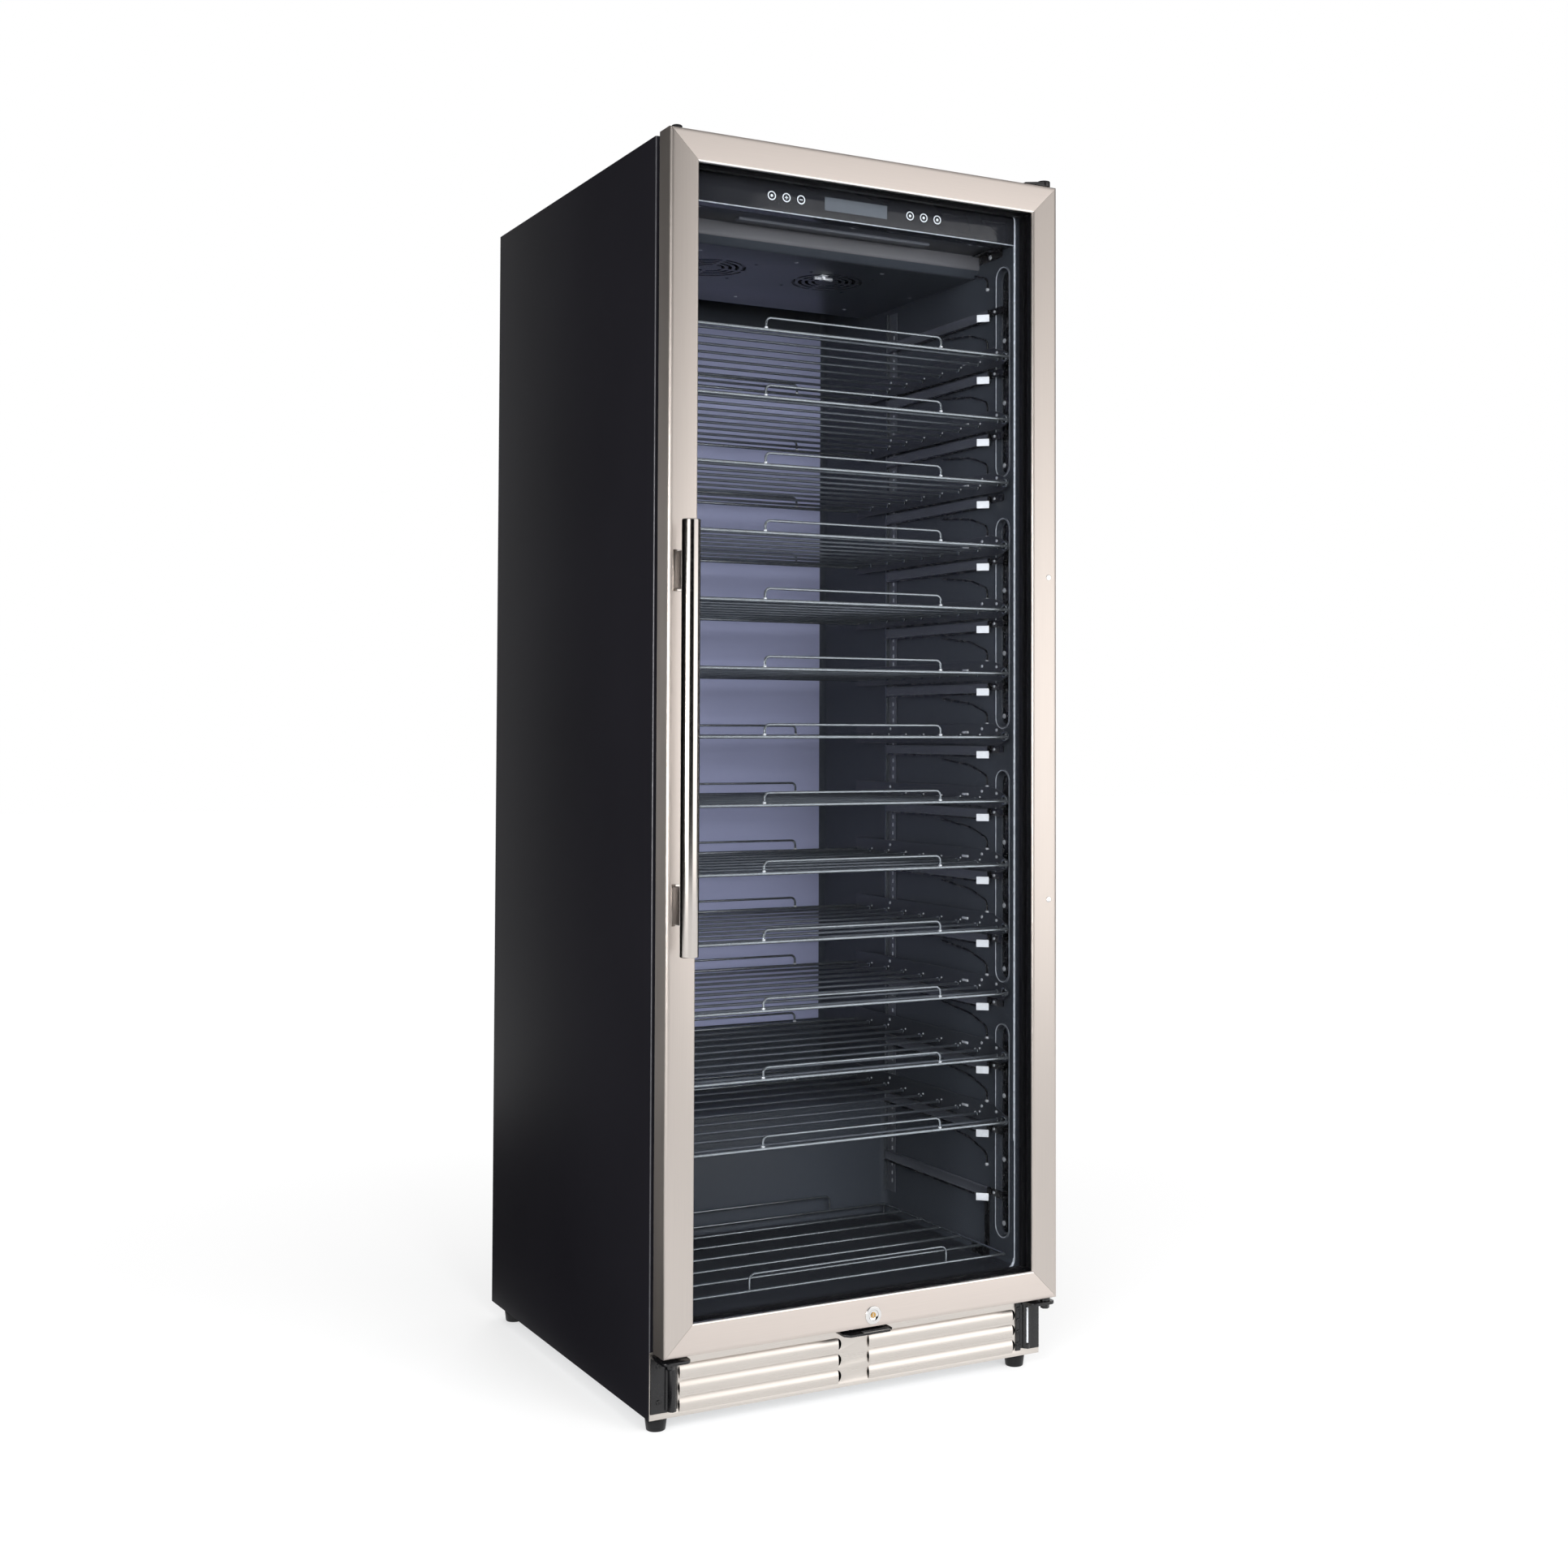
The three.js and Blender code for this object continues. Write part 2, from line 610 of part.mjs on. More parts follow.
// Where each member of the door frame lies, from its length, its section's height and depth.
const members = {
  bottom_rail: [WIDTH, (along, up, back) => [along - HALF, DOOR_FRONT + back, DOOR_BOTTOM + up]],
  right_stile: [DOOR_TOP - DOOR_BOTTOM,
    (along, up, back) => [HALF - up, DOOR_FRONT + back, DOOR_BOTTOM + along]],
  top_rail: [WIDTH, (along, up, back) => [HALF - along, DOOR_FRONT + back, DOOR_TOP - up]],
  left_stile: [DOOR_TOP - DOOR_BOTTOM,
    (along, up, back) => [up - HALF, DOOR_FRONT + back, DOOR_TOP - along]],
};

// A member with both ends mitred at 45 degrees.
function mitred([length, place]) {
  const options = { depth: 1, bevelEnabled: false, curveSegments: 2 };
  const geometry = new THREE.ExtrudeGeometry(frameSection(), options);
  const point = geometry.attributes.position;
  for (let i = 0; i < point.count; i += 1) {
    const [back, up] = [point.getX(i), point.getY(i)];
    const inset = up + SEAM;
    const along = point.getZ(i) > 0.5 ? length - inset : inset;
    point.setXYZ(i, ...place(along, up, back));
  }
  return geometry;
}

function bottomRail() {
  const camY = [DOOR_FRONT + CAM_BEHIND - 0.5, DOOR_FRONT + CAM_BEHIND + CAM_THICKNESS + 0.5];
  const camX = [LOCK_X - CAM_WIDTH / 2 - 1.5, LOCK_X + CAM_LENGTH];
  return cut(
    mitred(members.bottom_rail),
    rod('y', [LOCK_Z, LOCK_X], LOCK_TUBE_RADIUS + GAP, [DOOR_FRONT - 5, DOOR_FRONT + SKIN + 1]),
    block(camX, camY, [DOOR_BOTTOM - 5, DOOR_BOTTOM + SKIN + 1]),
    rod('z', [PIN_X, PIN_Y], PIN_RADIUS + GAP, [DOOR_BOTTOM - 5, DOOR_BOTTOM + PIN_REACH + 2], 16),
  );
}

function topRail() {
  const hole = [DOOR_TOP - PIN_REACH - 2, DOOR_TOP + 5];
  return cut(mitred(members.top_rail), rod('z', [PIN_X, PIN_Y], PIN_RADIUS + GAP, hole, 16));
}

// Two panes held apart by a spacer, which has a small filling hole at the top.
function glassUnit() {
  const edge = BAND - GLASS_BITE + GAP;
  const spacer = 8;
  const half = HALF - edge;
  const [low, high] = [DOOR_BOTTOM + edge, DOOR_TOP - edge];
  const front = DOOR_FRONT + FRONT_LIP + GAP;
  const back = front + GLASS_UNIT;
  return cut(
    block([-half, half], [front, back], [low, high]),
    block([spacer - half, half - spacer], [front + PANE, back - PANE], [low + spacer, high - spacer]),
    rod('z', [0, (front + back) / 2], 1.5, [high - spacer - 1, high + 1], 8),
  );
}

function gasket() {
  const rim = (inset, y) => {
    const half = HALF - inset;
    return block([-half, half], y, [DOOR_BOTTOM + inset, DOOR_TOP - inset]);
  };
  return cut(
    rim(GASKET_INSET, [DOOR_BACK, -GAP]),
    rim(GASKET_INSET + GASKET_WIDTH, [DOOR_BACK - 5, 5]),
  );
}

// Round bar on two flat posts.
function handle() {
  const x = HANDLE_INSET - HALF;
  const middle = (DOOR_BOTTOM + DOOR_TOP) / 2;
  const ends = [middle - HANDLE_LENGTH / 2, middle + HANDLE_LENGTH / 2];
  const posts = both((end) => {
    const z = middle + end * POST_SPACING / 2;
    const across = [x - POST_WIDTH / 2, x + POST_WIDTH / 2];
    return block(across, [HANDLE_Y, DOOR_FRONT], [z - POST_HEIGHT / 2, z + POST_HEIGHT / 2]);
  });
  return join(rod('z', [x, HANDLE_Y], HANDLE_RADIUS, ends, 24), ...posts);
}

function lockBody() {
  const front = DOOR_FRONT - LOCK_RING;
  const centre = [LOCK_Z, LOCK_X];
  return cut(
    join(
      rod('y', centre, LOCK_RING_RADIUS, [front, DOOR_FRONT]),
      rod('y', centre, LOCK_TUBE_RADIUS, [front, DOOR_FRONT + CAM_BEHIND - 2]),
    ),
    rod('y', centre, LOCK_BARREL_RADIUS + GAP, [front - 5, DOOR_BACK]),
  );
}

// Barrel with its key slot and the cam that drops into the strike plate.
function lockBarrel() {
  const camY = [DOOR_FRONT + CAM_BEHIND, DOOR_FRONT + CAM_BEHIND + CAM_THICKNESS];
  const front = DOOR_FRONT - LOCK_RING + GAP;
  const cam = block([LOCK_X, LOCK_X + CAM_LENGTH], camY,
    [LOCK_Z - CAM_WIDTH / 2, LOCK_Z + CAM_WIDTH / 2]);
  const [slotHalf, slotHeight, slotDepth] = [KEY_SLOT[0] / 2, KEY_SLOT[1], KEY_SLOT[2]];
  const keySlot = block([LOCK_X - slotHalf, LOCK_X + slotHalf], [front - 1, front + slotDepth],
    [LOCK_Z - slotHeight / 2, LOCK_Z + slotHeight / 2]);
  return cut(
    join(rod('y', [LOCK_Z, LOCK_X], LOCK_BARREL_RADIUS, [front, camY[1]]), cam),
    keySlot,
  );
}

// ---------------------------------------------------------------- runners and shelves

const runnerOuter = INNER_HALF - GAP - POST_SHEET;
const runnerBack = STEP_FRONT - REAR_POST_SETBACK;

// Front and rear posts of one side with a runner at each level; the lowest is a short rest.
function runnerRack(side) {
  const at = (x0, x1) => [side * x0, side * x1];
  const pocketBack = INNER_HALF + POCKET_DEPTH - GAP;
  const frontX = at(pocketBack - POST_SHEET, pocketBack);
  const postZ = [pocketBottom + 2, pocketTop - 2];
  const frontPost = block(frontX, [pocketY[0] + 7, pocketY[1] - 6], postZ);
  const rearY = [runnerBack - REAR_POST_WIDTH, runnerBack];
  const rearPost = block(at(runnerOuter, runnerOuter + POST_SHEET), rearY, [postZ[0], DUCT_BOTTOM - 8]);
  const runners = count(LEVEL_COUNT, (n) => {
    const z = level(n);
    const lowest = n === 0;
    const half = RUNNER_HEIGHT / 2;
    const railZ = lowest ? [FLOOR + 1, FLOOR + RACK_RISE - WIRE / 2 - GAP] : [z - half, z + half];
    const railBack = lowest ? RUNNER_FRONT + 40 : runnerBack;
    const rail = block(at(runnerOuter - RUNNER_WIDTH, runnerOuter + 0.2), [RUNNER_FRONT, railBack], railZ);
    const hook = block(at(runnerOuter - 1.5, runnerOuter + 0.2), [pegY[0], RUNNER_FRONT + 1],
      [z - 5, z + 5]);
    const peg = block(at(runnerOuter, pocketBack - 0.5), pegY, [z - 3, z + 3]);
    return lowest ? join(rail, hook, lowestStrap(at)) : join(rail, hook, peg);
  });
  return join(frontPost, rearPost, ...runners);
}

// Strap that carries the lowest rest from the second runner.
function lowestStrap(at) {
  return block(at(runnerOuter - 1.5, runnerOuter + 0.2), [RUNNER_FRONT, RUNNER_FRONT + 12],
    [level(0) - 5, level(1)]);
}

const fence = (half, y, deck, height) => [
  ...both((side) => (
    block([side * half, side * (half - FENCE_WIRE)], [y, y + FENCE_WIRE], [deck, deck + height])
  )),
  block([-half, half], [y, y + FENCE_WIRE], [deck + height - FENCE_WIRE, deck + height]),
];

const wireZ = (deck) => [deck - WIRE / 2, deck + WIRE / 2];

// A sliding shelf with its runner level at zero height: cheeks, wires and the two fences.
function shelf() {
  const front = SHELF_SETBACK;
  const back = SHELF_SETBACK + SHELF_DEPTH;
  const outside = INNER_HALF - CHEEK_INSET;
  const bottom = RUNNER_HEIGHT / 2 + GAP;
  const top = DECK_RISE + CHEEK_RISE;
  const outline = [
    [front, DECK_RISE - 4],
    [front + 20, bottom],
    [back, bottom],
    [back, top],
    [front + CHEEK_SLOPE, top],
    [front, DECK_RISE + 6],
  ];
  const wires = [front];
  for (let y = FIRST_WIRE; y < back - WIRE_PITCH / 2; y += WIRE_PITCH) {
    wires.push(y - WIRE / 2);
  }
  wires.push(back - WIRE);
  const cheeks = both((side) => {
    const x = [side * outside, side * (outside - CHEEK)];
    const ledge = [side * (outside - CHEEK), side * (runnerOuter - 1)];
    return join(
      prism('x', outline, [Math.min(...x), Math.max(...x)]),
      block(ledge, [RUNNER_FRONT, runnerBack - 6], [bottom, bottom + 1.5]),
    );
  });
  const bars = wires.map((y) => block([-outside, outside], [y, y + WIRE], wireZ(DECK_RISE)));
  return join(
    ...cheeks,
    ...bars,
    ...fence(FENCE_HALF, front, DECK_RISE, FENCE_HEIGHT),
    ...fence(FENCE_HALF, back - FENCE_WIRE, DECK_RISE, FENCE_HEIGHT),
  );
}

// Wire rack over the floor of the cavity, on the lowest rests and two short legs.
function bottomRack() {
  const deck = FLOOR + RACK_RISE;
  const half = INNER_HALF - CHEEK_INSET;
  const back = STEP_FRONT - RACK_BACK_CLEARANCE;
  const pitch = (back - RACK_FRONT) / (RACK_WIRES - 1);
  const wires = count(RACK_WIRES, (n) => {
    const y = RACK_FRONT + n * pitch;
    return block([-half, half], [y - WIRE / 2, y + WIRE / 2], wireZ(deck));
  });
  const sides = both((side) => (
    block([side * half, side * (half - WIRE)], [RACK_FRONT, back], wireZ(deck))
  ));
  const rests = both((side) => (
    block([side * (half - 1), side * (runnerOuter - 1)],
      [RUNNER_FRONT + 14, RUNNER_FRONT + 34], wireZ(deck))
  ));
  const legs = both((side) => (
    block([side * half, side * (half - WIRE)], [back - WIRE, back], [FLOOR + GAP, deck])
  ));
  return join(
    ...wires,
    ...sides,
    ...rests,
    ...legs,
    ...fence(RACK_FENCE_HALF, RACK_FRONT - WIRE / 2, deck, RACK_FENCE_HEIGHT),
    ...fence(RACK_FENCE_HALF, back - WIRE / 2, deck, RACK_FENCE_HEIGHT),
  );
}

// ---------------------------------------------------------------- controls

const fasciaTop = CEILING - GAP;
const fasciaBottom = CEILING - FASCIA_HEIGHT;
const controlZ = CEILING - WINDOW_DROP;
const keyXs = both((side) => [-1, 0, 1].map((n) => side * KEY_GROUP + n * KEY_SPACING)).flat();

function controlFascia() {
  const half = INNER_HALF - GAP;
  const front = FASCIA_SETBACK;
  const back = front + FASCIA_DEPTH;
  const window = block([-WINDOW_WIDTH / 2, WINDOW_WIDTH / 2], [front - 5, front + 10],
    [controlZ - WINDOW_HEIGHT / 2, controlZ + WINDOW_HEIGHT / 2]);
  const holes = keyXs.map((x) => (
    rod('y', [controlZ, x], KEY_RADIUS + GAP, [front - 5, front + FASCIA_WALL + 1], 14)
  ));
  const inside = block([FASCIA_WALL - half, half - FASCIA_WALL], [front + FASCIA_WALL, back + 1],
    [fasciaBottom + FASCIA_WALL, fasciaTop - FASCIA_WALL]);
  return cut(block([-half, half], [front, back], [fasciaBottom, fasciaTop]), inside, window, ...holes);
}

function displayWindow() {
  const halfWidth = WINDOW_WIDTH / 2 - GAP;
  const halfHeight = WINDOW_HEIGHT / 2 - GAP;
  return block([-halfWidth, halfWidth], [FASCIA_SETBACK, FASCIA_SETBACK + FASCIA_WALL],
    [controlZ - halfHeight, controlZ + halfHeight]);
}

const key = (x) => (
  rod('y', [controlZ, x], KEY_RADIUS, [FASCIA_SETBACK - GAP, FASCIA_SETBACK - GAP + KEY_LENGTH], 14)
);

// ---------------------------------------------------------------- air duct, fans and evaporator

const fanXs = both((side) => FAN_MIDDLE + side * FAN_SPACING / 2);
const fanY = DUCT_FRONT + FAN_BEHIND;
const ductFloor = DUCT_BOTTOM + DUCT_SHEET;

// A curved slot in the duct's floor, part of a ring about a fan's centre.
function ringSlot(x, radius, quarter) {
  const from = (quarter * Math.PI + SLOT_BREAK) / 2;
  const to = ((quarter + 1) * Math.PI - SLOT_BREAK) / 2;
  const slot = new THREE.Shape();
  slot.absarc(x, fanY, radius + SLOT_WIDTH / 2, from, to);
  slot.absarc(x, fanY, radius - SLOT_WIDTH / 2, to, from, true);
  return prism('z', slot, through(DUCT_BOTTOM), 2);
}

// Pressed box under the ceiling with the fan grilles in its floor, and a tray in front of it.
function fanDuctCover() {
  const half = INNER_HALF - GAP;
  const back = DUCT_FRONT + DUCT_LENGTH;
  const top = CEILING - GAP;
  const trayBottom = CEILING - TRAY_DROP;
  const shell = cut(
    block([-half, half], [DUCT_FRONT, back], [DUCT_BOTTOM, top]),
    block([DUCT_SHEET - half, half - DUCT_SHEET], [DUCT_FRONT + DUCT_SHEET, back - DUCT_SHEET],
      [ductFloor, top + 5]),
  );
  const trayFront = FASCIA_SETBACK + FASCIA_DEPTH + GAP;
  const tray = block([-half, half], [trayFront, DUCT_FRONT + 1], [trayBottom, trayBottom + DUCT_SHEET]);
  const slots = fanXs.flatMap((x) => SLOT_RADII.flatMap((radius) => (
    count(4, (quarter) => ringSlot(x, radius, quarter))
  )));
  return cut(join(shell, tray), ...slots);
}

function ledBar() {
  const trayBottom = CEILING - TRAY_DROP;
  const front = DUCT_FRONT - LIGHT_BEFORE;
  return block([-LIGHT_LENGTH / 2, LIGHT_LENGTH / 2], [front, front + LIGHT_WIDTH],
    [trayBottom - LIGHT_HEIGHT, trayBottom]);
}

// Both fan housings with their motors and struts, joined by a strip.
function fanMount() {
  const low = ductFloor + GAP;
  const high = low + FAN_FRAME_DEPTH;
  const half = FAN_FRAME / 2;
  const arm = FAN_STRUT / 2;
  const housings = fanXs.map((x) => {
    const square = block([x - half, x + half], [fanY - half, fanY + half], [low, high]);
    const struts = join(
      block([x - half + 1, x + half - 1], [fanY - arm, fanY + arm], [high - arm, high]),
      block([x - arm, x + arm], [fanY - half + 1, fanY + half - 1], [high - arm, high]),
    );
    const opening = rod('z', [x, fanY], FAN_RADIUS + 3, [low - 5, high + 5], 20);
    const motor = rod('z', [x, fanY], FAN_MOTOR, [high - arm, high + 8], 20);
    return join(cut(square, opening), struts, motor);
  });
  const strip = block([fanXs[0] + half - 1, fanXs[1] - half + 1], [fanY - 10, fanY + 10],
    [low, low + 3]);
  return join(...housings, strip);
}

// An impeller about the Z axis, with its hub and pitched blades.
function impeller(radius, hub, depth, blades) {
  const parts = [rod('z', [0, 0], hub, [0, depth], 20)];
  const lean = depth * BLADE_LEAN;
  for (let n = 0; n < blades; n += 1) {
    const outline = [[-lean - 1, 0], [1 - lean, 0], [lean + 1, depth], [lean - 1, depth]];
    const blade = prism('x', outline, [hub - 2, radius]);
    blade.rotateZ(n * 2 * Math.PI / blades);
    parts.push(blade);
  }
  return join(...parts);
}

// Finned block with open grooves.
function finnedBlock(x, y, z, fins, core) {
  const pitch = (x[1] - x[0]) / fins;
  const grooves = count(fins - 1, (n) => {
    const middle = x[0] + (n + 1) * pitch;
    return block([middle - pitch * 0.3, middle + pitch * 0.3], [y[0] - 1, y[1] + 1],
      [z[0] + core, z[1] + 1]);
  });
  return cut(block(x, y, z), ...grooves);
}

function evaporator() {
  const half = INNER_HALF - EVAPORATOR_INSET;
  const back = DUCT_FRONT + DUCT_LENGTH - 15;
  const z = [ductFloor + GAP, CEILING - 10];
  return finnedBlock([-half, half], [back - EVAPORATOR_DEPTH, back], z, FINS, 12);
}

// ---------------------------------------------------------------- cooling machinery

const bayMiddle = (BAY_FRONT + DEPTH) / 2;

function compressor() {
  const r = COMPRESSOR_RADIUS;
  const low = 14;
  const dome = [[0, 0], [r * 0.7, 2], [r * 0.95, r * 0.25], [r, r * 0.45],
    [r, COMPRESSOR_HEIGHT - r * 0.6], [r * 0.92, COMPRESSOR_HEIGHT - r * 0.3],
    [r * 0.6, COMPRESSOR_HEIGHT - 4], [0, COMPRESSOR_HEIGHT]];
  const shell = new THREE.LatheGeometry(dome.map(([a, b]) => new THREE.Vector2(a, b)), 16);
  shell.rotateX(Math.PI / 2);
  shell.translate(COMPRESSOR_X, bayMiddle, BASE_SHEET + low);
  const plateX = [COMPRESSOR_X - r - 12, COMPRESSOR_X + r + 12];
  const plateY = [bayMiddle - 62, bayMiddle + 62];
  const plate = block(plateX, plateY, [BASE_SHEET + low, BASE_SHEET + low + 5]);
  const mounts = both((sx) => both((sy) => {
    const centre = [COMPRESSOR_X + sx * (r - 2), bayMiddle + sy * 50];
    return rod('z', centre, 10, [BASE_SHEET, BASE_SHEET + low + 1], 12);
  })).flat();
  const box = block([COMPRESSOR_X + r - 6, COMPRESSOR_X + r + 26], [bayMiddle - 26, bayMiddle + 26],
    [BASE_SHEET + 70, BASE_SHEET + 130]);
  const stub = rod('z', [COMPRESSOR_X - 20, bayMiddle + 20], 4, [COMPRESSOR_HEIGHT - 20, BAY_TOP - 20], 8);
  return join(shell, plate, ...mounts, box, stub);
}

const condenserBack = DEPTH - 20;
const condenserFront = condenserBack - CONDENSER_DEPTH;
const shroudFront = condenserFront - 14;
const condenserZ = BASE_SHEET + CONDENSER_HEIGHT / 2;

// Finned core with the fan's shroud and the arms that carry the fan motor.
function condenser() {
  const half = CONDENSER_WIDTH / 2;
  const x = [CONDENSER_X - half, CONDENSER_X + half];
  const z = [BASE_SHEET, BASE_SHEET + CONDENSER_HEIGHT];
  const fins = finnedBlock(x, [condenserFront, condenserBack], z, FINS, 10);
  const shroud = cut(
    block(x, [shroudFront, condenserFront + 1], z),
    rod('y', [condenserZ, CONDENSER_X], CONDENSER_FAN_RADIUS + 5, [shroudFront - 5, condenserBack], 20),
  );
  const armFront = shroudFront - CONDENSER_FAN_DEPTH - 12;
  const arms = both((side) => {
    const reach = side * (CONDENSER_FAN_RADIUS + 14);
    const armX = CONDENSER_X + reach;
    return join(
      block([armX - 4, armX + 4], [armFront, shroudFront + 1], [condenserZ - 5, condenserZ + 5]),
      block([armX, CONDENSER_X], [armFront, armFront + 4], [condenserZ - 5, condenserZ + 5]),
    );
  });
  const motor = rod('y', [condenserZ, CONDENSER_X], CONDENSER_MOTOR, [armFront - 18, armFront + 4], 20);
  return join(fins, shroud, ...arms, motor);
}

// ---------------------------------------------------------------- assembly

add('side_panel_left', sidePanel(-1), blackPaint);
add('side_panel_right', sidePanel(1), blackPaint);
add('top_panel', topPanel(), blackPaint);
add('back_panel', backPanel(), galvanised);
add('base_plate', basePlate(), galvanised);
add('rear_cover', rearCover(), galvanised);
footPlaces.forEach(([name, side, y]) => add(name, foot(side, y), blackPlastic));

add('inner_liner', innerLiner(), linerPlastic);
add('foam_insulation', foamInsulation(), foam);
add('rear_air_panel', block(
  [GAP - INNER_HALF, INNER_HALF - GAP],
  [CAVITY_BACK - GAP - AIR_PANEL, CAVITY_BACK - GAP],
  [AIR_PANEL_BOTTOM, DUCT_BOTTOM - 1],
), airPanel);

add('kick_grille', kickGrille(), brushedSteel);
add('strike_plate', strikePlate(), blackSteel);
add('lower_hinge_right', lowerHinge(1, true), blackSteel);
add('lower_hinge_left', lowerHinge(-1, false), blackSteel);
add('top_hinge', topHinge(), blackSteel);

add('control_fascia', controlFascia(), glossBlack);
add('display_window', displayWindow(), display);
keyXs.forEach((x, n) => add(`key_${n + 1}`, key(x), keyWhite));

add('fan_duct_cover', fanDuctCover(), linerPlastic);
add('led_bar', ledBar(), lightDiffuser);
add('fan_mount', fanMount(), blackPlastic);
['evaporator_fan_left', 'evaporator_fan_right'].forEach((name, n) => {
  const fan = add(name, impeller(FAN_RADIUS, FAN_HUB, FAN_DEPTH, FAN_BLADES), blackPlastic);
  fan.position.set(fanXs[n], fanY, ductFloor + GAP + FAN_FRAME_DEPTH - 3.4 - FAN_DEPTH);
});
add('evaporator', evaporator(), aluminium);

add('runner_rack_left', runnerRack(-1), blackSteel);
add('runner_rack_right', runnerRack(1), blackSteel);
const shelfGeometry = asGeometry(shelf());
for (let n = 1; n <= SHELF_COUNT; n += 1) {
  const mesh = add(`shelf_${String(n).padStart(2, '0')}`, shelfGeometry, blackWire);
  mesh.position.z = level(LEVEL_COUNT - SHELVES_FROM_TOP - n);
}
add('bottom_rack', bottomRack(), blackWire);

add('compressor', compressor(), blackPaint);
add('condenser', condenser(), aluminium);
const condenserFan = add(
  'condenser_fan',
  impeller(CONDENSER_FAN_RADIUS, CONDENSER_HUB, CONDENSER_FAN_DEPTH, FAN_BLADES),
  blackPlastic,
);
condenserFan.rotation.x = -Math.PI / 2;
condenserFan.position.set(CONDENSER_X, shroudFront - CONDENSER_FAN_DEPTH - 7.6, condenserZ);

const door = new THREE.Group();
cabinet.add(door);
add('bottom_rail', bottomRail(), brushedSteel, door);
add('top_rail', topRail(), brushedSteel, door);
add('left_stile', mitred(members.left_stile), brushedSteel, door);
add('right_stile', mitred(members.right_stile), brushedSteel, door);
add('glass_unit', glassUnit(), glass, door);
add('door_gasket', gasket(), blackPlastic, door);
add('handle', handle(), polishedSteel, door);
add('lock_body', lockBody(), polishedSteel, door);
add('lock_barrel', lockBarrel(), polishedSteel, door);

export default refrigerator;
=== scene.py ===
"""Upright glass-door bottle refrigerator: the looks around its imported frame."""

import math

import bmesh
import bpy
from mathutils import Euler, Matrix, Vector


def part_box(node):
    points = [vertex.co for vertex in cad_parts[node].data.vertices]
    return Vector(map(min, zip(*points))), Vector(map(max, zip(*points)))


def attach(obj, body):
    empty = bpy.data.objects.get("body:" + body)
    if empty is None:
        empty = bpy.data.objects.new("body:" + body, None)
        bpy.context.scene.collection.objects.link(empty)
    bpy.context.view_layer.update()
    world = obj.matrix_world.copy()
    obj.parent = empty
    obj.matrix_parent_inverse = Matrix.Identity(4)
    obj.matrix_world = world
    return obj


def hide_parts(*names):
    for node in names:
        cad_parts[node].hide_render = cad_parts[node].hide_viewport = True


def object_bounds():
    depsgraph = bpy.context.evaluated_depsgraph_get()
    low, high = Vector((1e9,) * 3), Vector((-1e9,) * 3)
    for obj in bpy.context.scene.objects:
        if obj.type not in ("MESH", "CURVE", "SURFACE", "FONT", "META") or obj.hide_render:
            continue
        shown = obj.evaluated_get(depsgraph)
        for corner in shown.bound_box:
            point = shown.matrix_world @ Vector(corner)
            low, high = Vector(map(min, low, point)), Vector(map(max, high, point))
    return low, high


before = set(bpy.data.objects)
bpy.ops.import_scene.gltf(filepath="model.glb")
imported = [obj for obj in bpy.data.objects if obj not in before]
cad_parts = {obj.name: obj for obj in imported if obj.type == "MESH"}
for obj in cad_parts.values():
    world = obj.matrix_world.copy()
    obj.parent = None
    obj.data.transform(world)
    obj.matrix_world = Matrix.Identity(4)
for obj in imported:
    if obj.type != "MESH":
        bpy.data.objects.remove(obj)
frame_low, frame_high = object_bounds()

MM = 0.001
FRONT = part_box("side_panel_left")[0].y  # front of the cabinet
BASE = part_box("side_panel_left")[0].z  # underside of the cabinet

# Sizes in millimetres. Depths are behind the cabinet's front, heights above its underside.


def deep(value):
    """A depth of the frame, in millimetres behind the cabinet's front."""
    return (value - FRONT) / MM


def tall(value):
    """A height of the frame, in millimetres above the cabinet's underside."""
    return (value - BASE) / MM


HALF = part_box("side_panel_right")[1].x / MM
DEPTH = deep(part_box("side_panel_left")[1].y)
HEIGHT = tall(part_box("side_panel_left")[1].z)
DOOR_LOW = tall(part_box("bottom_rail")[0].z)
DOOR_HIGH = tall(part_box("top_rail")[1].z)
DOOR_FRONT = deep(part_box("left_stile")[0].y)
DOOR_BACK = deep(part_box("left_stile")[1].y)
BAND = (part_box("left_stile")[1].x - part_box("left_stile")[0].x) / MM
INNER = (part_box("control_fascia")[1].x / MM) + 0.3
CAVITY_BACK = deep(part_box("rear_air_panel")[1].y) + 0.3
CEILING = tall(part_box("control_fascia")[1].z) + 0.3
FLOOR = tall(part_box("bottom_rack")[0].z) - 0.3
DUCT_LOW = tall(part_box("fan_duct_cover")[0].z)
STEP = 358.0  # depth of the space in front of the machinery
STEP_TOP = 300.0  # top of the machinery's housing
SHELVES = [f"shelf_{n:02d}" for n in range(1, 14)]
LEDGE_RISE = 7.3  # a shelf's underside above its runner's level
DECK_RISE = 17.5  # its wires above the same level
SHELF_BOTTOM = tall(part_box("shelf_13")[0].z)
PITCH = (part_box("shelf_01")[0].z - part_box("shelf_02")[0].z) / MM
LOWEST = SHELF_BOTTOM - LEDGE_RISE - 2 * PITCH
LEVELS = [LOWEST + n * PITCH for n in range(16)]
GAP = 31  # a recess starts and ends this far from the level it leaves out
POCKETS = [(LEVELS[n] + GAP, LEVELS[n + 4] - GAP) for n in (0, 4, 8)] + [(LEVELS[12] + GAP, DUCT_LOW + 2)]


def spot(x, y, z):
    """A point of the row frame, in metres, from millimetres across, back and up the cabinet."""
    return Vector((x * MM, FRONT + y * MM, BASE + z * MM))


def there(point):
    """The millimetres of a point in the row frame."""
    return Vector((point.x / MM, (point.y - FRONT) / MM, (point.z - BASE) / MM))


def limits(name):
    """The lowest and the highest corner of one of the frame's parts, in millimetres."""
    low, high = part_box(name)
    return there(low), there(high)


def middle_of(name):
    low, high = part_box(name)
    return there((low + high) / 2)


# ---- bench work


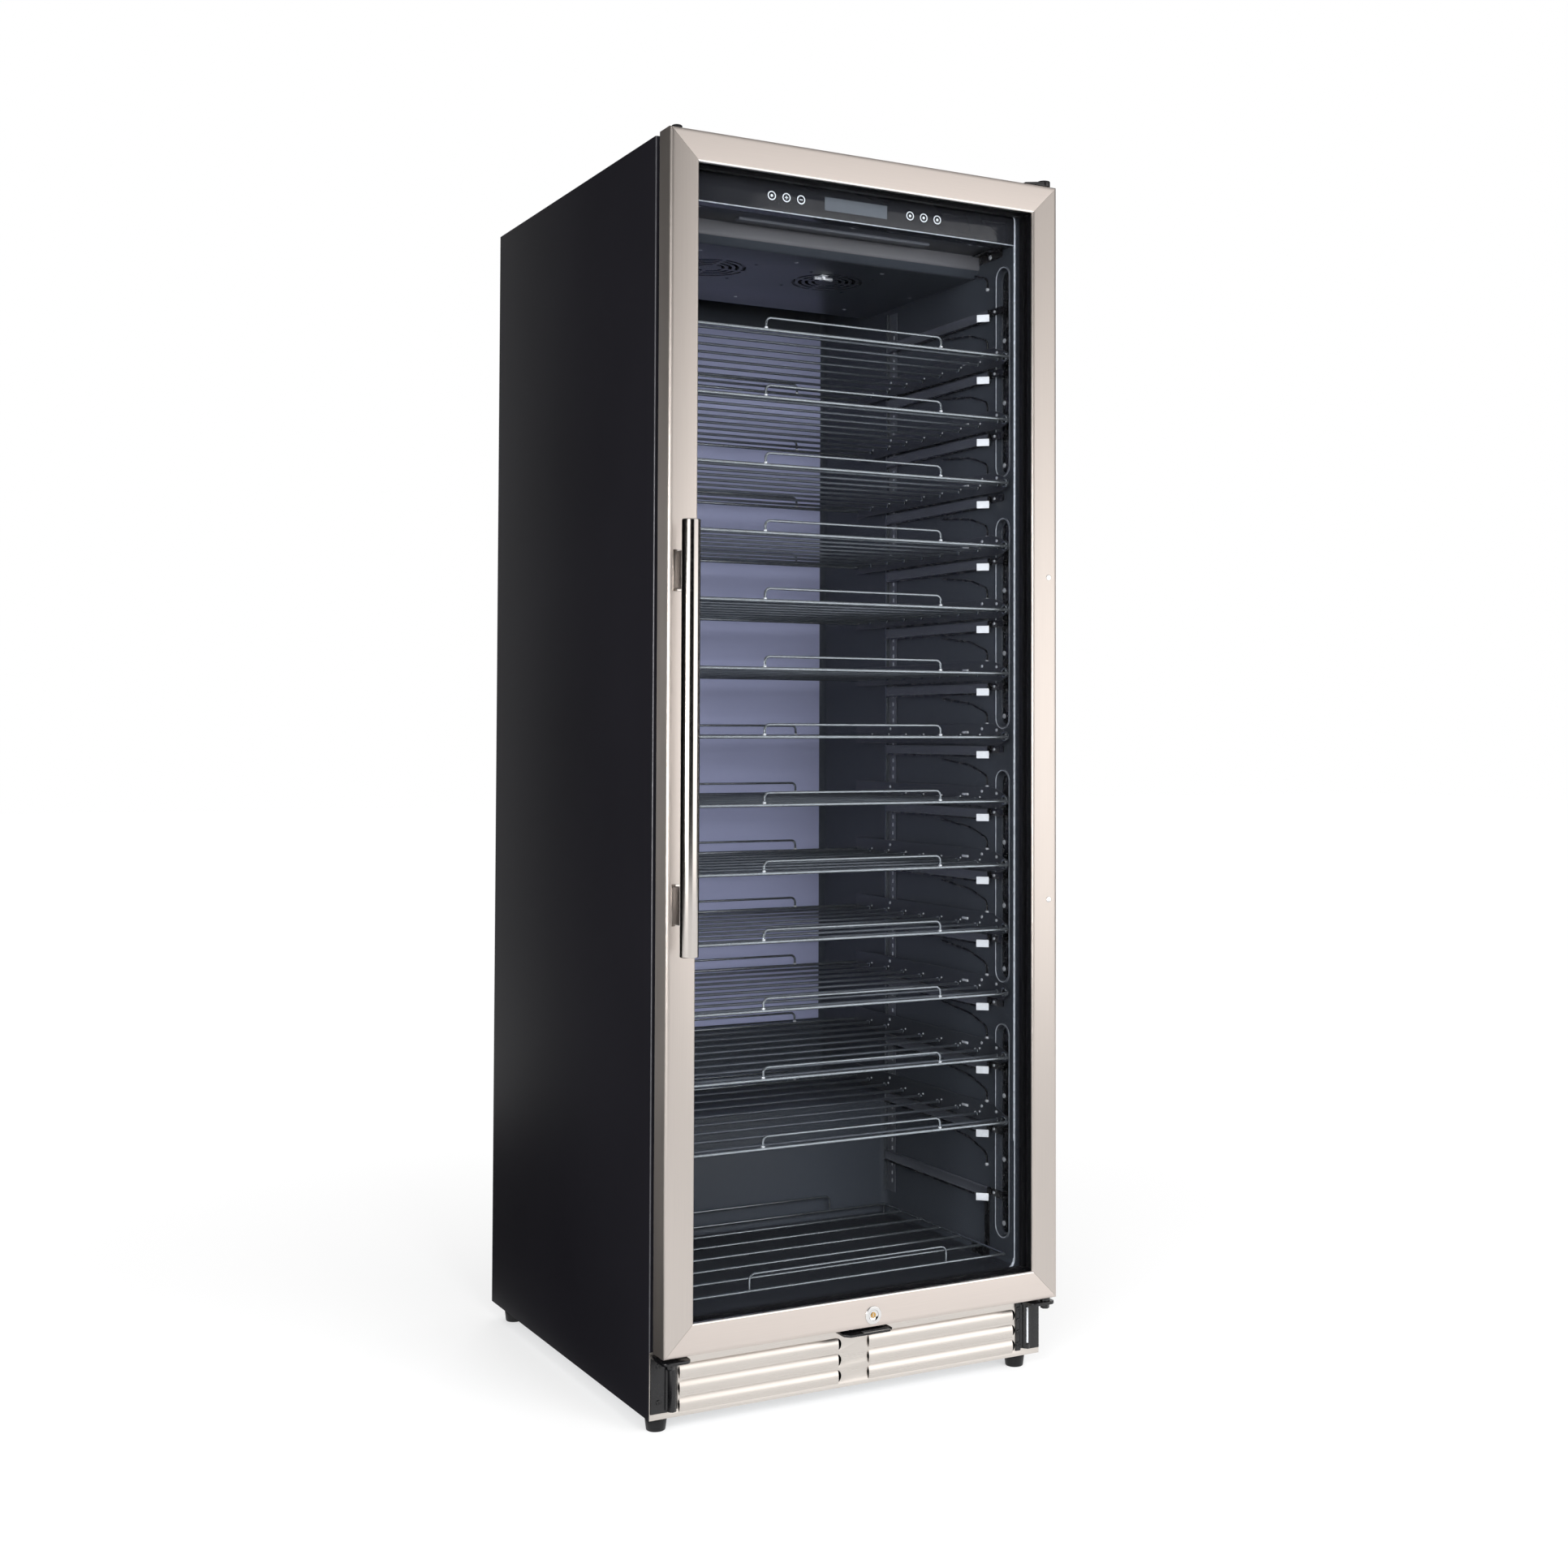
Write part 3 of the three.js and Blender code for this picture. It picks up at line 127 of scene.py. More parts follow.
def deselect():
    if bpy.context.object is not None and bpy.context.object.mode != "OBJECT":
        bpy.ops.object.mode_set(mode="OBJECT")
    bpy.ops.object.select_all(action="DESELECT")


def grab(*pieces):
    deselect()
    for piece in pieces:
        piece.select_set(True)
    bpy.context.view_layer.objects.active = pieces[0]


def settle(piece):
    """Puts the place, turn and size of a piece into its mesh."""
    grab(piece)
    bpy.ops.object.transform_apply(location=True, rotation=True, scale=True)
    return piece


def block(name, x, y, z):
    """A squared blank between limits."""
    deselect()
    low = spot(min(x), min(y), min(z))
    high = spot(max(x), max(y), max(z))
    bpy.ops.mesh.primitive_cube_add(size=1, location=(low + high) / 2, scale=high - low)
    piece = bpy.context.object
    piece.name = name
    return settle(piece)


def blank_of(name, part):
    """A squared blank that fills the box of one of the frame's parts."""
    low, high = limits(part)
    return block(name, (low.x, high.x), (low.y, high.y), (low.z, high.z))


TURNS = {"x": (0, math.pi / 2, 0), "y": (math.pi / 2, 0, 0), "z": (0, 0, 0)}


def along(axis, across, place):
    """The point at a place along an axis, from the two other coordinates in their usual order."""
    a, b = across
    return {"x": (place, a, b), "y": (a, place, b), "z": (a, b, place)}[axis]


def bar(name, axis, across, radius, ends, sides=32):
    """A turned blank along an axis."""
    deselect()
    middle = spot(*along(axis, across, sum(ends) / 2))
    bpy.ops.mesh.primitive_cylinder_add(
        vertices=sides,
        radius=radius * MM,
        depth=abs(ends[1] - ends[0]) * MM,
        location=middle,
        rotation=TURNS[axis],
    )
    piece = bpy.context.object
    piece.name = name
    return settle(piece)


def edit(piece, kind="FACE"):
    grab(piece)
    bpy.ops.object.mode_set(mode="EDIT")
    bpy.ops.mesh.select_mode(type=kind)
    bpy.ops.mesh.select_all(action="DESELECT")


def leave():
    bpy.ops.object.mode_set(mode="OBJECT")


def start_choice(piece, kind):
    bpy.ops.mesh.select_mode(type=kind)
    bpy.ops.mesh.select_all(action="DESELECT")
    return bmesh.from_edit_mesh(piece.data)


def choose_faces(piece, wanted):
    """Selects the faces whose middle and normal are wanted."""
    mesh = start_choice(piece, "FACE")
    for face in mesh.faces:
        face.select_set(bool(wanted(there(face.calc_center_median()), face.normal)))
    bmesh.update_edit_mesh(piece.data)


def choose_edges(piece, wanted):
    """Selects the edges whose middle, direction and fold are wanted. An open edge has a fold of -1."""
    mesh = start_choice(piece, "EDGE")
    for edge in mesh.edges:
        a, b = edge.verts[0].co, edge.verts[1].co
        line = (b - a).normalized() if (b - a).length > 0 else Vector((0, 0, 0))
        fold = edge.calc_face_angle(0.0) if len(edge.link_faces) == 2 else -1
        edge.select_set(bool(wanted(there((a + b) / 2), line, fold)))
    bmesh.update_edit_mesh(piece.data)


def choose_points(piece, wanted):
    mesh = start_choice(piece, "VERT")
    for vert in mesh.verts:
        vert.select_set(bool(wanted(there(vert.co))))
    mesh.select_flush_mode()
    bmesh.update_edit_mesh(piece.data)


def move(x=0.0, y=0.0, z=0.0):
    bpy.ops.transform.translate(value=(x * MM, y * MM, z * MM))


def pull(x=0.0, y=0.0, z=0.0):
    bpy.ops.mesh.extrude_region_move(TRANSFORM_OT_translate={"value": (x * MM, y * MM, z * MM)})


def pull_edges(x=0.0, y=0.0, z=0.0):
    bpy.ops.mesh.extrude_edges_move(TRANSFORM_OT_translate={"value": (x * MM, y * MM, z * MM)})


def inset(width, depth=0.0, each=False):
    """Insets the chosen faces, together or each by itself."""
    bpy.ops.mesh.inset(thickness=width * MM, depth=depth * MM, use_individual=each)


def drop_faces():
    bpy.ops.mesh.delete(type="FACE")


def flip():
    """Turns a whole piece inside out."""
    bpy.ops.mesh.select_all(action="SELECT")
    bpy.ops.mesh.flip_normals()


def slice_at(piece, *cuts):
    """Adds a row of edges where each plane, an axis and a place, crosses the piece."""
    edit(piece)
    for axis, place in cuts:
        bpy.ops.mesh.select_all(action="SELECT")
        where = spot(*[place if axis == a else 0 for a in "xyz"])
        normal = [1.0 if axis == a else 0.0 for a in "xyz"]
        bpy.ops.mesh.bisect(plane_co=where, plane_no=normal)
    leave()


def round_off(radius, steps=3):
    bpy.ops.mesh.bevel(offset=radius * MM, segments=steps, profile=0.5, affect="EDGES")


def round_edges(piece, radius, steps, wanted):
    """Rounds the wanted edges of a piece."""
    edit(piece)
    choose_edges(piece, wanted)
    round_off(radius, steps)
    leave()
    return piece


def modify(piece, kind, **settings):
    grab(piece)
    modifier = piece.modifiers.new(kind.title(), kind)
    for name, value in settings.items():
        setattr(modifier, name, value)
    bpy.ops.object.modifier_apply(modifier=modifier.name)
    return piece


def smooth(piece, angle=35):
    grab(piece)
    bpy.ops.object.shade_smooth_by_angle(angle=math.radians(angle))
    return piece


def soften(piece, radius, steps=2, angle=40):
    """Rounds every sharp edge a little."""
    modify(
        piece,
        "BEVEL",
        width=radius * MM,
        segments=steps,
        limit_method="ANGLE",
        angle_limit=math.radians(angle),
    )
    return smooth(piece)


def repeat(piece, number, x=0.0, y=0.0, z=0.0):
    return modify(
        piece,
        "ARRAY",
        count=number,
        use_relative_offset=False,
        use_constant_offset=True,
        constant_offset_displace=(x * MM, y * MM, z * MM),
    )


def weld(name, *pieces):
    """Joins loose pieces under one name."""
    grab(*pieces)
    if len(pieces) > 1:
        bpy.ops.object.join()
    piece = bpy.context.object
    piece.name = name
    return piece


def carve(piece, *tools):
    """Takes the tools' shapes out of a piece."""
    tool = weld("tool", *tools)
    modify(piece, "BOOLEAN", object=tool, operation="DIFFERENCE", solver="EXACT")
    bpy.data.objects.remove(tool)
    return piece


def twin(piece, name):
    other = piece.copy()
    other.data = piece.data.copy()
    other.name = name
    bpy.context.scene.collection.objects.link(other)
    return other


def again(piece, name, x=0.0, y=0.0, z=0.0, turn=None):
    """A copy with its own mesh, turned about the row frame's origin and then moved."""
    other = twin(piece, name)
    if turn:
        other.rotation_euler = Euler([math.radians(a) for a in turn])
    other.location = (x * MM, y * MM, z * MM)
    return settle(other)


def mirrored(piece, name):
    """A copy on the other side of the middle, right way out."""
    other = twin(piece, name)
    other.scale = (-1, 1, 1)
    settle(other)
    edit(other)
    flip()
    leave()
    return other


def trim(piece, material, wanted):
    """Gives the wanted faces a second material."""
    piece.data.materials.append(material)
    edit(piece)
    choose_faces(piece, wanted)
    piece.active_material_index = len(piece.data.materials) - 1
    bpy.ops.object.material_slot_assign()
    leave()
    return piece


def stadium(name, axis, ends, across, radius, depth, sides=34):
    """A blank with round ends, long in height along x or in width along y."""
    first = ends[0] + radius
    centre = (across, first) if axis == "x" else (first, across)
    piece = bar(name, axis, centre, radius, depth, sides)
    edit(piece, "VERT")
    if axis == "x":
        choose_points(piece, lambda p: p.z > first)
        move(z=ends[1] - ends[0] - 2 * radius)
    else:
        choose_points(piece, lambda p: p.x > first)
        move(x=ends[1] - ends[0] - 2 * radius)
    leave()
    return piece


def bend_wire(name, path, radius, bend=0.0, rings=2):
    """A round wire along a path of straight runs, bent at each corner."""
    deselect()
    points = [spot(*p) for p in path]
    bpy.ops.mesh.primitive_plane_add(size=MM, location=points[0])
    piece = bpy.context.object
    settle(piece)
    edit(piece, "VERT")
    bpy.ops.mesh.select_all(action="SELECT")
    bpy.ops.mesh.merge(type="CENTER")
    for a, b in zip(points, points[1:]):
        bpy.ops.mesh.extrude_vertices_move(TRANSFORM_OT_translate={"value": b - a})
    if bend:
        ends = [there(points[0]), there(points[-1])]
        choose_points(piece, lambda p: all((p - e).length > 0.05 for e in ends))
        bpy.ops.mesh.bevel(offset=bend * MM, segments=5, affect="VERTICES")
    leave()
    bpy.ops.object.convert(target="CURVE")
    piece = bpy.context.object
    piece.data.bevel_depth = radius * MM
    piece.data.bevel_resolution = rings
    piece.data.use_fill_caps = True
    bpy.ops.object.convert(target="MESH")
    piece = bpy.context.object
    piece.name = name
    return smooth(piece, 50)


# ---- finishes


def tone(red, green, blue):
    """A colour written as 0 to 255 on a screen, in linear light."""
    parts = [v / 255 for v in (red, green, blue)]
    return [v / 12.92 if v <= 0.04045 else ((v + 0.055) / 1.055) ** 2.4 for v in parts] + [1.0]


class Finish:
    """A material whose nodes read the piece's own coordinates."""

    def __init__(self, name, colour, roughness, metallic=0.0, **sockets):
        self.material = bpy.data.materials.new(name)
        self.material.use_nodes = True
        self.nodes = self.material.node_tree.nodes
        self.links = self.material.node_tree.links
        self.shader = self.nodes["Principled BSDF"]
        self.shader.inputs["Base Color"].default_value = colour
        self.shader.inputs["Roughness"].default_value = roughness
        self.shader.inputs["Metallic"].default_value = metallic
        for socket, value in sockets.items():
            self.shader.inputs[socket.replace("_", " ")].default_value = value
        self.colour = colour

    def add(self, kind, **settings):
        node = self.nodes.new("ShaderNode" + kind)
        for name, value in settings.items():
            setattr(node, name, value)
        return node

    def noise(self, scale, stretch=(1, 1, 1), detail=3.0, rough=0.5):
        place = self.add("TexCoord")
        mapping = self.add("Mapping")
        mapping.inputs["Scale"].default_value = stretch
        texture = self.add("TexNoise")
        texture.inputs["Scale"].default_value = scale
        texture.inputs["Detail"].default_value = detail
        texture.inputs["Roughness"].default_value = rough
        self.links.new(place.outputs["Object"], mapping.inputs["Vector"])
        self.links.new(mapping.outputs["Vector"], texture.inputs["Vector"])
        return texture.outputs["Fac"]

    def cells(self, scale):
        place = self.add("TexCoord")
        texture = self.add("TexVoronoi")
        texture.inputs["Scale"].default_value = scale
        self.links.new(place.outputs["Object"], texture.inputs["Vector"])
        return texture.outputs["Color"]

    def spread(self, pattern, span, low=0.0, high=1.0):
        """Stretches the middle span of a pattern to run from low to high."""
        scale = self.add("MapRange")
        for socket, value in zip(("From Min", "From Max", "To Min", "To Max"), (*span, low, high)):
            scale.inputs[socket].default_value = value
        self.links.new(pattern, scale.inputs["Value"])
        return scale.outputs["Result"]

    def vary_colour(self, pattern, low, high, span=(0.3, 0.7)):
        """The colour runs from low to high times the finish's own."""
        mix = self.add("Mix", data_type="RGBA")
        mix.inputs[6].default_value = [c * low for c in self.colour[:3]] + [1.0]
        mix.inputs[7].default_value = [min(1.0, c * high) for c in self.colour[:3]] + [1.0]
        self.links.new(self.spread(pattern, span), mix.inputs[0])
        self.links.new(mix.outputs[2], self.shader.inputs["Base Color"])
        return self

    def vary_roughness(self, pattern, low, high, span=(0.3, 0.7)):
        self.links.new(self.spread(pattern, span, low, high), self.shader.inputs["Roughness"])
        return self

    def relief(self, pattern, strength, depth):
        bump = self.add("Bump")
        bump.inputs["Strength"].default_value = strength
        bump.inputs["Distance"].default_value = depth
        self.links.new(pattern, bump.inputs["Height"])
        self.links.new(bump.outputs["Normal"], self.shader.inputs["Normal"])
        return self


def brushed(name, colour, stretch, rough, spread):
    """Fine grain along one axis, whose highlights spread across it: round the axis named by spread."""
    finish = Finish(name, colour, 0.3, 1.0)
    lines = finish.noise(1.0, stretch, 4.0, 0.6)
    finish.vary_colour(lines, 0.97, 1.02)
    finish.vary_roughness(lines, *rough)
    finish.relief(lines, 0.05, 0.0001)
    if spread:
        finish.shader.inputs["Anisotropic"].default_value = 0.8
        tangent = finish.add("Tangent", direction_type="RADIAL", axis=spread)
        finish.links.new(tangent.outputs["Tangent"], finish.shader.inputs["Tangent"])
    return finish.material


# Rails and stiles are one steel: the grain directions are real, the rails' slightly lighter tone is painted
# light.
STEEL = tone(200, 192, 186)
steel_across = brushed("steel_brushed_across", tone(210, 201, 195), (9, 900, 900), (0.42, 0.48), "X")
# Lip of the rails round the glass: the finer polish is real, the near-white tone is a painted highlight.
lip_painted_highlight = brushed("rail_lip_polish_and_highlight", tone(250, 248, 246), (9, 900, 900), (0.2, 0.26), "")
steel_upright = brushed("steel_brushed_upright", STEEL, (900, 900, 9), (0.34, 0.4), "Z")
# Darkened steel for the handle's posts: painted shade standing for the dark reflections on their sides.
painted_shade_post = brushed("handle_post_painted_shade", tone(104, 98, 94), (150, 5, 150), (0.3, 0.34), "")
steel_bar = brushed("steel_polished_bar", tone(206, 200, 195), (700, 700, 5), (0.14, 0.2), "")
steel_pressed = brushed("steel_pressed", tone(208, 202, 196), (9, 800, 800), (0.26, 0.34), "")


def plain(name, colour, roughness, metallic=0.0, specular=0.5, tints=(), gloss=(), bumps=()):
    """A finish whose tints and gloss are a noise and two limits, and bumps a noise, strength and depth."""
    finish = Finish(name, tone(*colour), roughness, metallic, Specular_IOR_Level=specular)
    if tints:
        noise, low, high = tints
        finish.vary_colour(finish.noise(*noise), low, high)
    if gloss:
        noise, low, high = gloss
        finish.vary_roughness(finish.noise(*noise), low, high)
    if bumps:
        noise, strength, depth = bumps
        finish.relief(finish.noise(*noise), strength, depth)
    return finish.material


def fine(scale, detail=2.0):
    """A noise of few octaves that isn't stretched."""
    return scale, (1, 1, 1), detail


CLOUDS = fine(2.2, 1.0)
paint_black = plain(
    "paint_satin_black", (28, 27, 32), 0.45, 0.0, 0.1, ((3.0,), 0.9, 1.1), bumps=(fine(1400), 0.08, 0.0002)
)
# Front fold of the side sheets: the higher gloss is real, the lighter tone is a painted highlight.
fold_painted_highlight = plain("side_fold_gloss_and_highlight", (78, 78, 82), 0.26, 0.3, tints=((60,), 0.85, 1.12))
liner_slate = plain("liner_gloss_slate", (56, 60, 67), 0.3, 0.0, 0.2, (CLOUDS, 0.94, 1.06))
# A darker copy of the liner slate for the inside floor: painted shade.
floor_painted_shade = plain("liner_gloss_painted_shade", (38, 40, 45), 0.3, 0.0, 0.2, (CLOUDS, 0.94, 1.06))
# Near-white finish for rounded edges of the slate liner, the pocket rims, the fascia and the tray lip: a
# painted highlight, not another material.
liner_painted_highlight = plain("liner_highlight_paint", (206, 212, 221), 0.26, 0.35, gloss=((90,), 0.22, 0.32))
# A lighter copy of the cover's slate for its front face: painted light.
duct_front_painted_light = plain("duct_face_painted_light", (92, 92, 96), 0.36, 0.0, 0.4, (fine(2.4, 1.0), 0.94, 1.05))
# Pale rear panel whose lavender tint is partly painted light, the bluish light inside the cabinet.
panel_lavender_painted_light = plain(
    "panel_lavender_painted_light", (166, 170, 203), 0.3, 0.0, 0.4, ((2.0, (1.5, 1, 0.6), 1.0), 0.9, 1.08)
)
runner_grey = plain(
    "runner_satin_grey", (88, 91, 99), 0.4, 0.3, tints=((26,), 0.94, 1.06), bumps=(fine(1500), 0.05, 0.0001)
)
cheek_slate = plain("shelf_side_slate", (50, 53, 59), 0.34, 0.2, tints=((30,), 0.94, 1.06))
wire_black = plain(
    "wire_satin_black", (92, 97, 105), 0.3, 0.8, tints=((40,), 0.9, 1.12), bumps=(fine(900), 0.05, 0.0001)
)
# A lighter copy of the shelf wire's satin metal: the metal is real, the lighter tone is a painted highlight.
wire_painted_highlight = plain(
    "wire_satin_highlight_paint", (150, 156, 162), 0.22, 0.9, tints=((30,), 0.9, 1.08), bumps=(fine(900), 0.03, 0.0001)
)
coated_black = plain(
    "steel_coated_black", (15, 15, 17), 0.26, tints=((45,), 0.86, 1.14), gloss=((60,), 0.22, 0.32)
)
plastic_black = plain(
    "plastic_moulded_black", (15, 15, 17), 0.4, 0.0, 0.3, ((50,), 0.9, 1.15), bumps=(fine(2200), 0.2, 0.0002)
)
rubber_black = plain(
    "rubber_seal", (20, 20, 22), 0.62, 0.0, 0.3, ((35,), 0.88, 1.12), bumps=(fine(1200), 0.15, 0.0002)
)
gloss_black = plain(
    "panel_gloss_black", (30, 31, 35), 0.1, tints=((6.0,), 0.94, 1.08), gloss=((25,), 0.07, 0.13)
)
display_grey = plain("display_grey", (82, 87, 94), 0.22, tints=((1.0, (260, 1, 30), 1.0), 0.96, 1.04))
sign_grey = plain("sign_pale_grey", (212, 217, 222), 0.4, tints=((400,), 0.94, 1.05))
tag_white = plain("tag_white", (222, 225, 230), 0.45, tints=((300,), 0.95, 1.04))
chrome = plain("chrome_bright", (222, 221, 220), 0.08, 1.0, gloss=((120,), 0.05, 0.12))
bolt_steel = plain(
    "steel_bright_bolt",
    (216, 219, 224),
    0.22,
    0.45,
    gloss=((300,), 0.16, 0.3),
    bumps=(fine(1500, 1.0), 0.1, 0.0001),
)
brass = plain("brass_lock_core", (200, 160, 96), 0.25, 1.0, gloss=((500,), 0.2, 0.34))
light_cover = plain("light_cover_smoked", (96, 99, 108), 0.35, tints=((60,), 0.96, 1.02))
aluminium = plain(
    "aluminium_fins",
    (196, 199, 202),
    0.36,
    1.0,
    tints=((30,), 0.92, 1.05),
    gloss=((1.0, (900, 40, 900)), 0.28, 0.46),
)

zinc = Finish("sheet_galvanised", tone(176, 180, 184), 0.42, 1.0)
zinc.vary_colour(zinc.cells(90), 0.82, 1.08, (0.0, 1.0))
zinc.vary_roughness(zinc.noise(160), 0.32, 0.5)
galvanised = zinc.material

rigid = Finish("foam_pale_yellow", tone(216, 207, 154), 0.9, 0.0)
rigid.vary_colour(rigid.noise(120), 0.9, 1.06)
rigid.relief(rigid.cells(500), 0.3, 0.0005)
foam_yellow = rigid.material


def clear_glass():
    """Thin clear glass that lamps shine straight through, with a faint gloss."""
    finish = Finish("glass_clear", tone(255, 255, 255), 0.0)
    nodes, links = finish.nodes, finish.links
    nodes.remove(finish.shader)
    gloss = finish.add("BsdfGlossy")
    gloss.inputs["Color"].default_value = tone(250, 252, 255)
    gloss.inputs["Roughness"].default_value = 0.03
    clear = finish.add("BsdfTransparent")
    clear.inputs["Color"].default_value = (0.982, 0.985, 0.988, 1.0)
    sheen = finish.add("Fresnel")
    sheen.inputs["IOR"].default_value = 1.05
    mix = finish.add("MixShader")
    links.new(sheen.outputs["Fac"], mix.inputs[0])
    links.new(clear.outputs["BSDF"], mix.inputs[1])
    links.new(gloss.outputs["BSDF"], mix.inputs[2])
    links.new(mix.outputs["Shader"], nodes["Material Output"].inputs["Surface"])
    return finish.material


glass_clear = clear_glass()


def coat_with(piece, material):
    piece.data.materials.clear()
    piece.data.materials.append(material)
    return piece


def fit(piece, body, material=None, stands_for=()):
    """Gives a finished piece its material and its body, and hides the frame's parts that it stands for."""
    if material is not None:
        coat_with(piece, material)
    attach(piece, body)
    if stands_for:
        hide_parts(*stands_for)
    return piece


# ---- fasteners


def screw_head(radius=3.6, rise=1.6):
    """A pan-head screw at the row frame's origin, with its head towards -y."""
    deselect()
    bpy.ops.mesh.primitive_cylinder_add(
        vertices=20, radius=radius * MM, depth=rise * MM, rotation=(math.pi / 2, 0, 0)
    )
    piece = settle(bpy.context.object)
    round_edges(piece, rise * 0.55, 3, lambda p, d, fold: fold > 1 and (p.y * MM + FRONT) < 0)
    tools = []
    for turn in (0, math.pi / 2):
        deselect()
        bpy.ops.mesh.primitive_cube_add(
            size=1,
            location=(0, -rise * 0.6 * MM, 0),
            rotation=(0, turn, 0),
            scale=(radius * 1.2 * MM, rise * MM, radius * 0.28 * MM),
        )
        tools.append(settle(bpy.context.object))
    for tool in tools:
        carve(piece, tool)
    return smooth(piece)


screw = coat_with(screw_head(), bolt_steel)
screw_dark = coat_with(again(screw, "screw_dark"), coated_black)

FACING = {
    "-y": (0, 0, 0),
    "+y": (0, 0, 180),
    "+x": (0, 0, 90),
    "-x": (0, 0, -90),
    "+z": (-90, 0, 0),
    "-z": (90, 0, 0),
}


def screw_at(x, y, z, facing="-y", kind=None):
    where = spot(x, y, z) / MM
    return again(kind or screw, "screw_copy", *where, turn=FACING[facing])


# ---- outer sheets

FOLD = 14.0
SHEET = 1.0


def side_sheet(side):
    name = "side_sheet_" + ("left" if side < 0 else "right")
    piece = block(name, (side * HALF, side * (HALF - FOLD)), (0, DEPTH), (0, HEIGHT))
    edit(piece)
    choose_faces(piece, lambda p, n: abs(n.z) > 0.9 or n.x * side < -0.9)
    drop_faces()
    choose_edges(piece, lambda p, d, fold: fold > 1 and abs(d.z) > 0.9)
    round_off(2.4, 4)
    leave()
    modify(piece, "SOLIDIFY", thickness=SHEET * MM, offset=-1)
    coat_with(piece, paint_black)
    # Painted highlight on the rounded front fold.
    trim(piece, fold_painted_highlight, lambda p, n: p.y < 2.3 and n.y < -0.3 and n.x * side > 0.3)
    return smooth(piece)


def top_sheet():
    half = HALF - FOLD - 0.3
    piece = block("top_sheet", (-half, half), (0, DEPTH), (HEIGHT - FOLD, HEIGHT))
    edit(piece)
    choose_faces(piece, lambda p, n: n.z < -0.9 or abs(n.x) > 0.9)
    drop_faces()
    choose_edges(piece, lambda p, d, fold: fold > 1)
    round_off(1.8, 4)
    for side in (-1, 1):
        choose_edges(piece, lambda p, d, fold: p.x * side > half - 0.1 and p.z > HEIGHT - 0.1)
        pull_edges(x=side * (FOLD - SHEET))
    leave()
    modify(piece, "SOLIDIFY", thickness=SHEET * MM, offset=-1)
    return smooth(piece)


def back_sheet():
    """The rear sheet with four shallow pressed fields."""
    low, high = 264.0, HEIGHT - FOLD - 0.3
    half = HALF - FOLD - 0.3
    piece = block("back_sheet", (-half, half), (DEPTH - SHEET, DEPTH), (low, high))
    rows = [low + (high - low) * n / 4 for n in (1, 2, 3)]
    slice_at(piece, *[("z", z) for z in rows])
    edit(piece)
    choose_faces(piece, lambda p, n: n.y > 0.9)
    inset(26, each=True)
    inset(5, -0.7, True)
    leave()
    return smooth(piece, 20)


fit(side_sheet(-1), "cabinet", None, ["side_panel_left"])
fit(side_sheet(1), "cabinet", None, ["side_panel_right"])
fit(top_sheet(), "cabinet", paint_black, ["top_panel"])
fit(back_sheet(), "cabinet", galvanised, ["back_panel"])


def back_screws():
    places = [(side * 275, z) for side in (-1, 1) for z in (300, 620, 940, 1260, 1580)]
    places += [(x, 1612) for x in (-140, 0, 140)]
    places += [(side * 272, z) for side in (-1, 1) for z in (30, 235)]
    return weld("back_screws", *[screw_at(x, DEPTH - 0.9, z, "+y") for x, z in places])


fit(back_screws(), "cabinet", galvanised)


def cord_gland():
    """Rubber grommet in the outlet of the supply cord."""
    centre = (0, tall(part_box("rear_cover")[0].z) + 15)
    ring = bar("cord_gland", "y", centre, 8.6, (DEPTH - 3, DEPTH - 0.1), 32)
    carve(ring, bar("bore", "y", centre, 4.6, (DEPTH - 20, DEPTH + 5), 32))
    return soften(ring, 0.5)


fit(cord_gland(), "cabinet", rubber_black)


def foot(name, x, y):
    """A levelling foot with a tapered pad and a ribbed neck."""
    low = tall(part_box(name)[0].z)
    pad = bar("pad", "z", (x, y), 14.5, (low, low + 16), 40)
    edit(pad)
    choose_faces(pad, lambda p, n: n.z < -0.9)
    bpy.ops.transform.resize(value=(0.86, 0.86, 1), center_override=spot(x, y, low))
    choose_edges(pad, lambda p, d, fold: fold > 0.8)
    round_off(1.6, 3)
    leave()
    neck = bar("neck", "z", (x, y), 9, (low + 15, low + 22), 6)
    stem = bar("stem", "z", (x, y), 4.7, (low + 20, low + 34), 20)
    return smooth(weld(name + "_round", pad, soften(neck, 0.6), stem))


for foot_name in ("foot_front_left", "foot_front_right", "foot_back_left", "foot_back_right"):
    centre = middle_of(foot_name)
    made = foot(foot_name, centre.x, centre.y)
    fit(made, "cabinet", plastic_black, [foot_name])

# ---- liner


POCKET_Y = 31.0
POCKET_R = 16.0


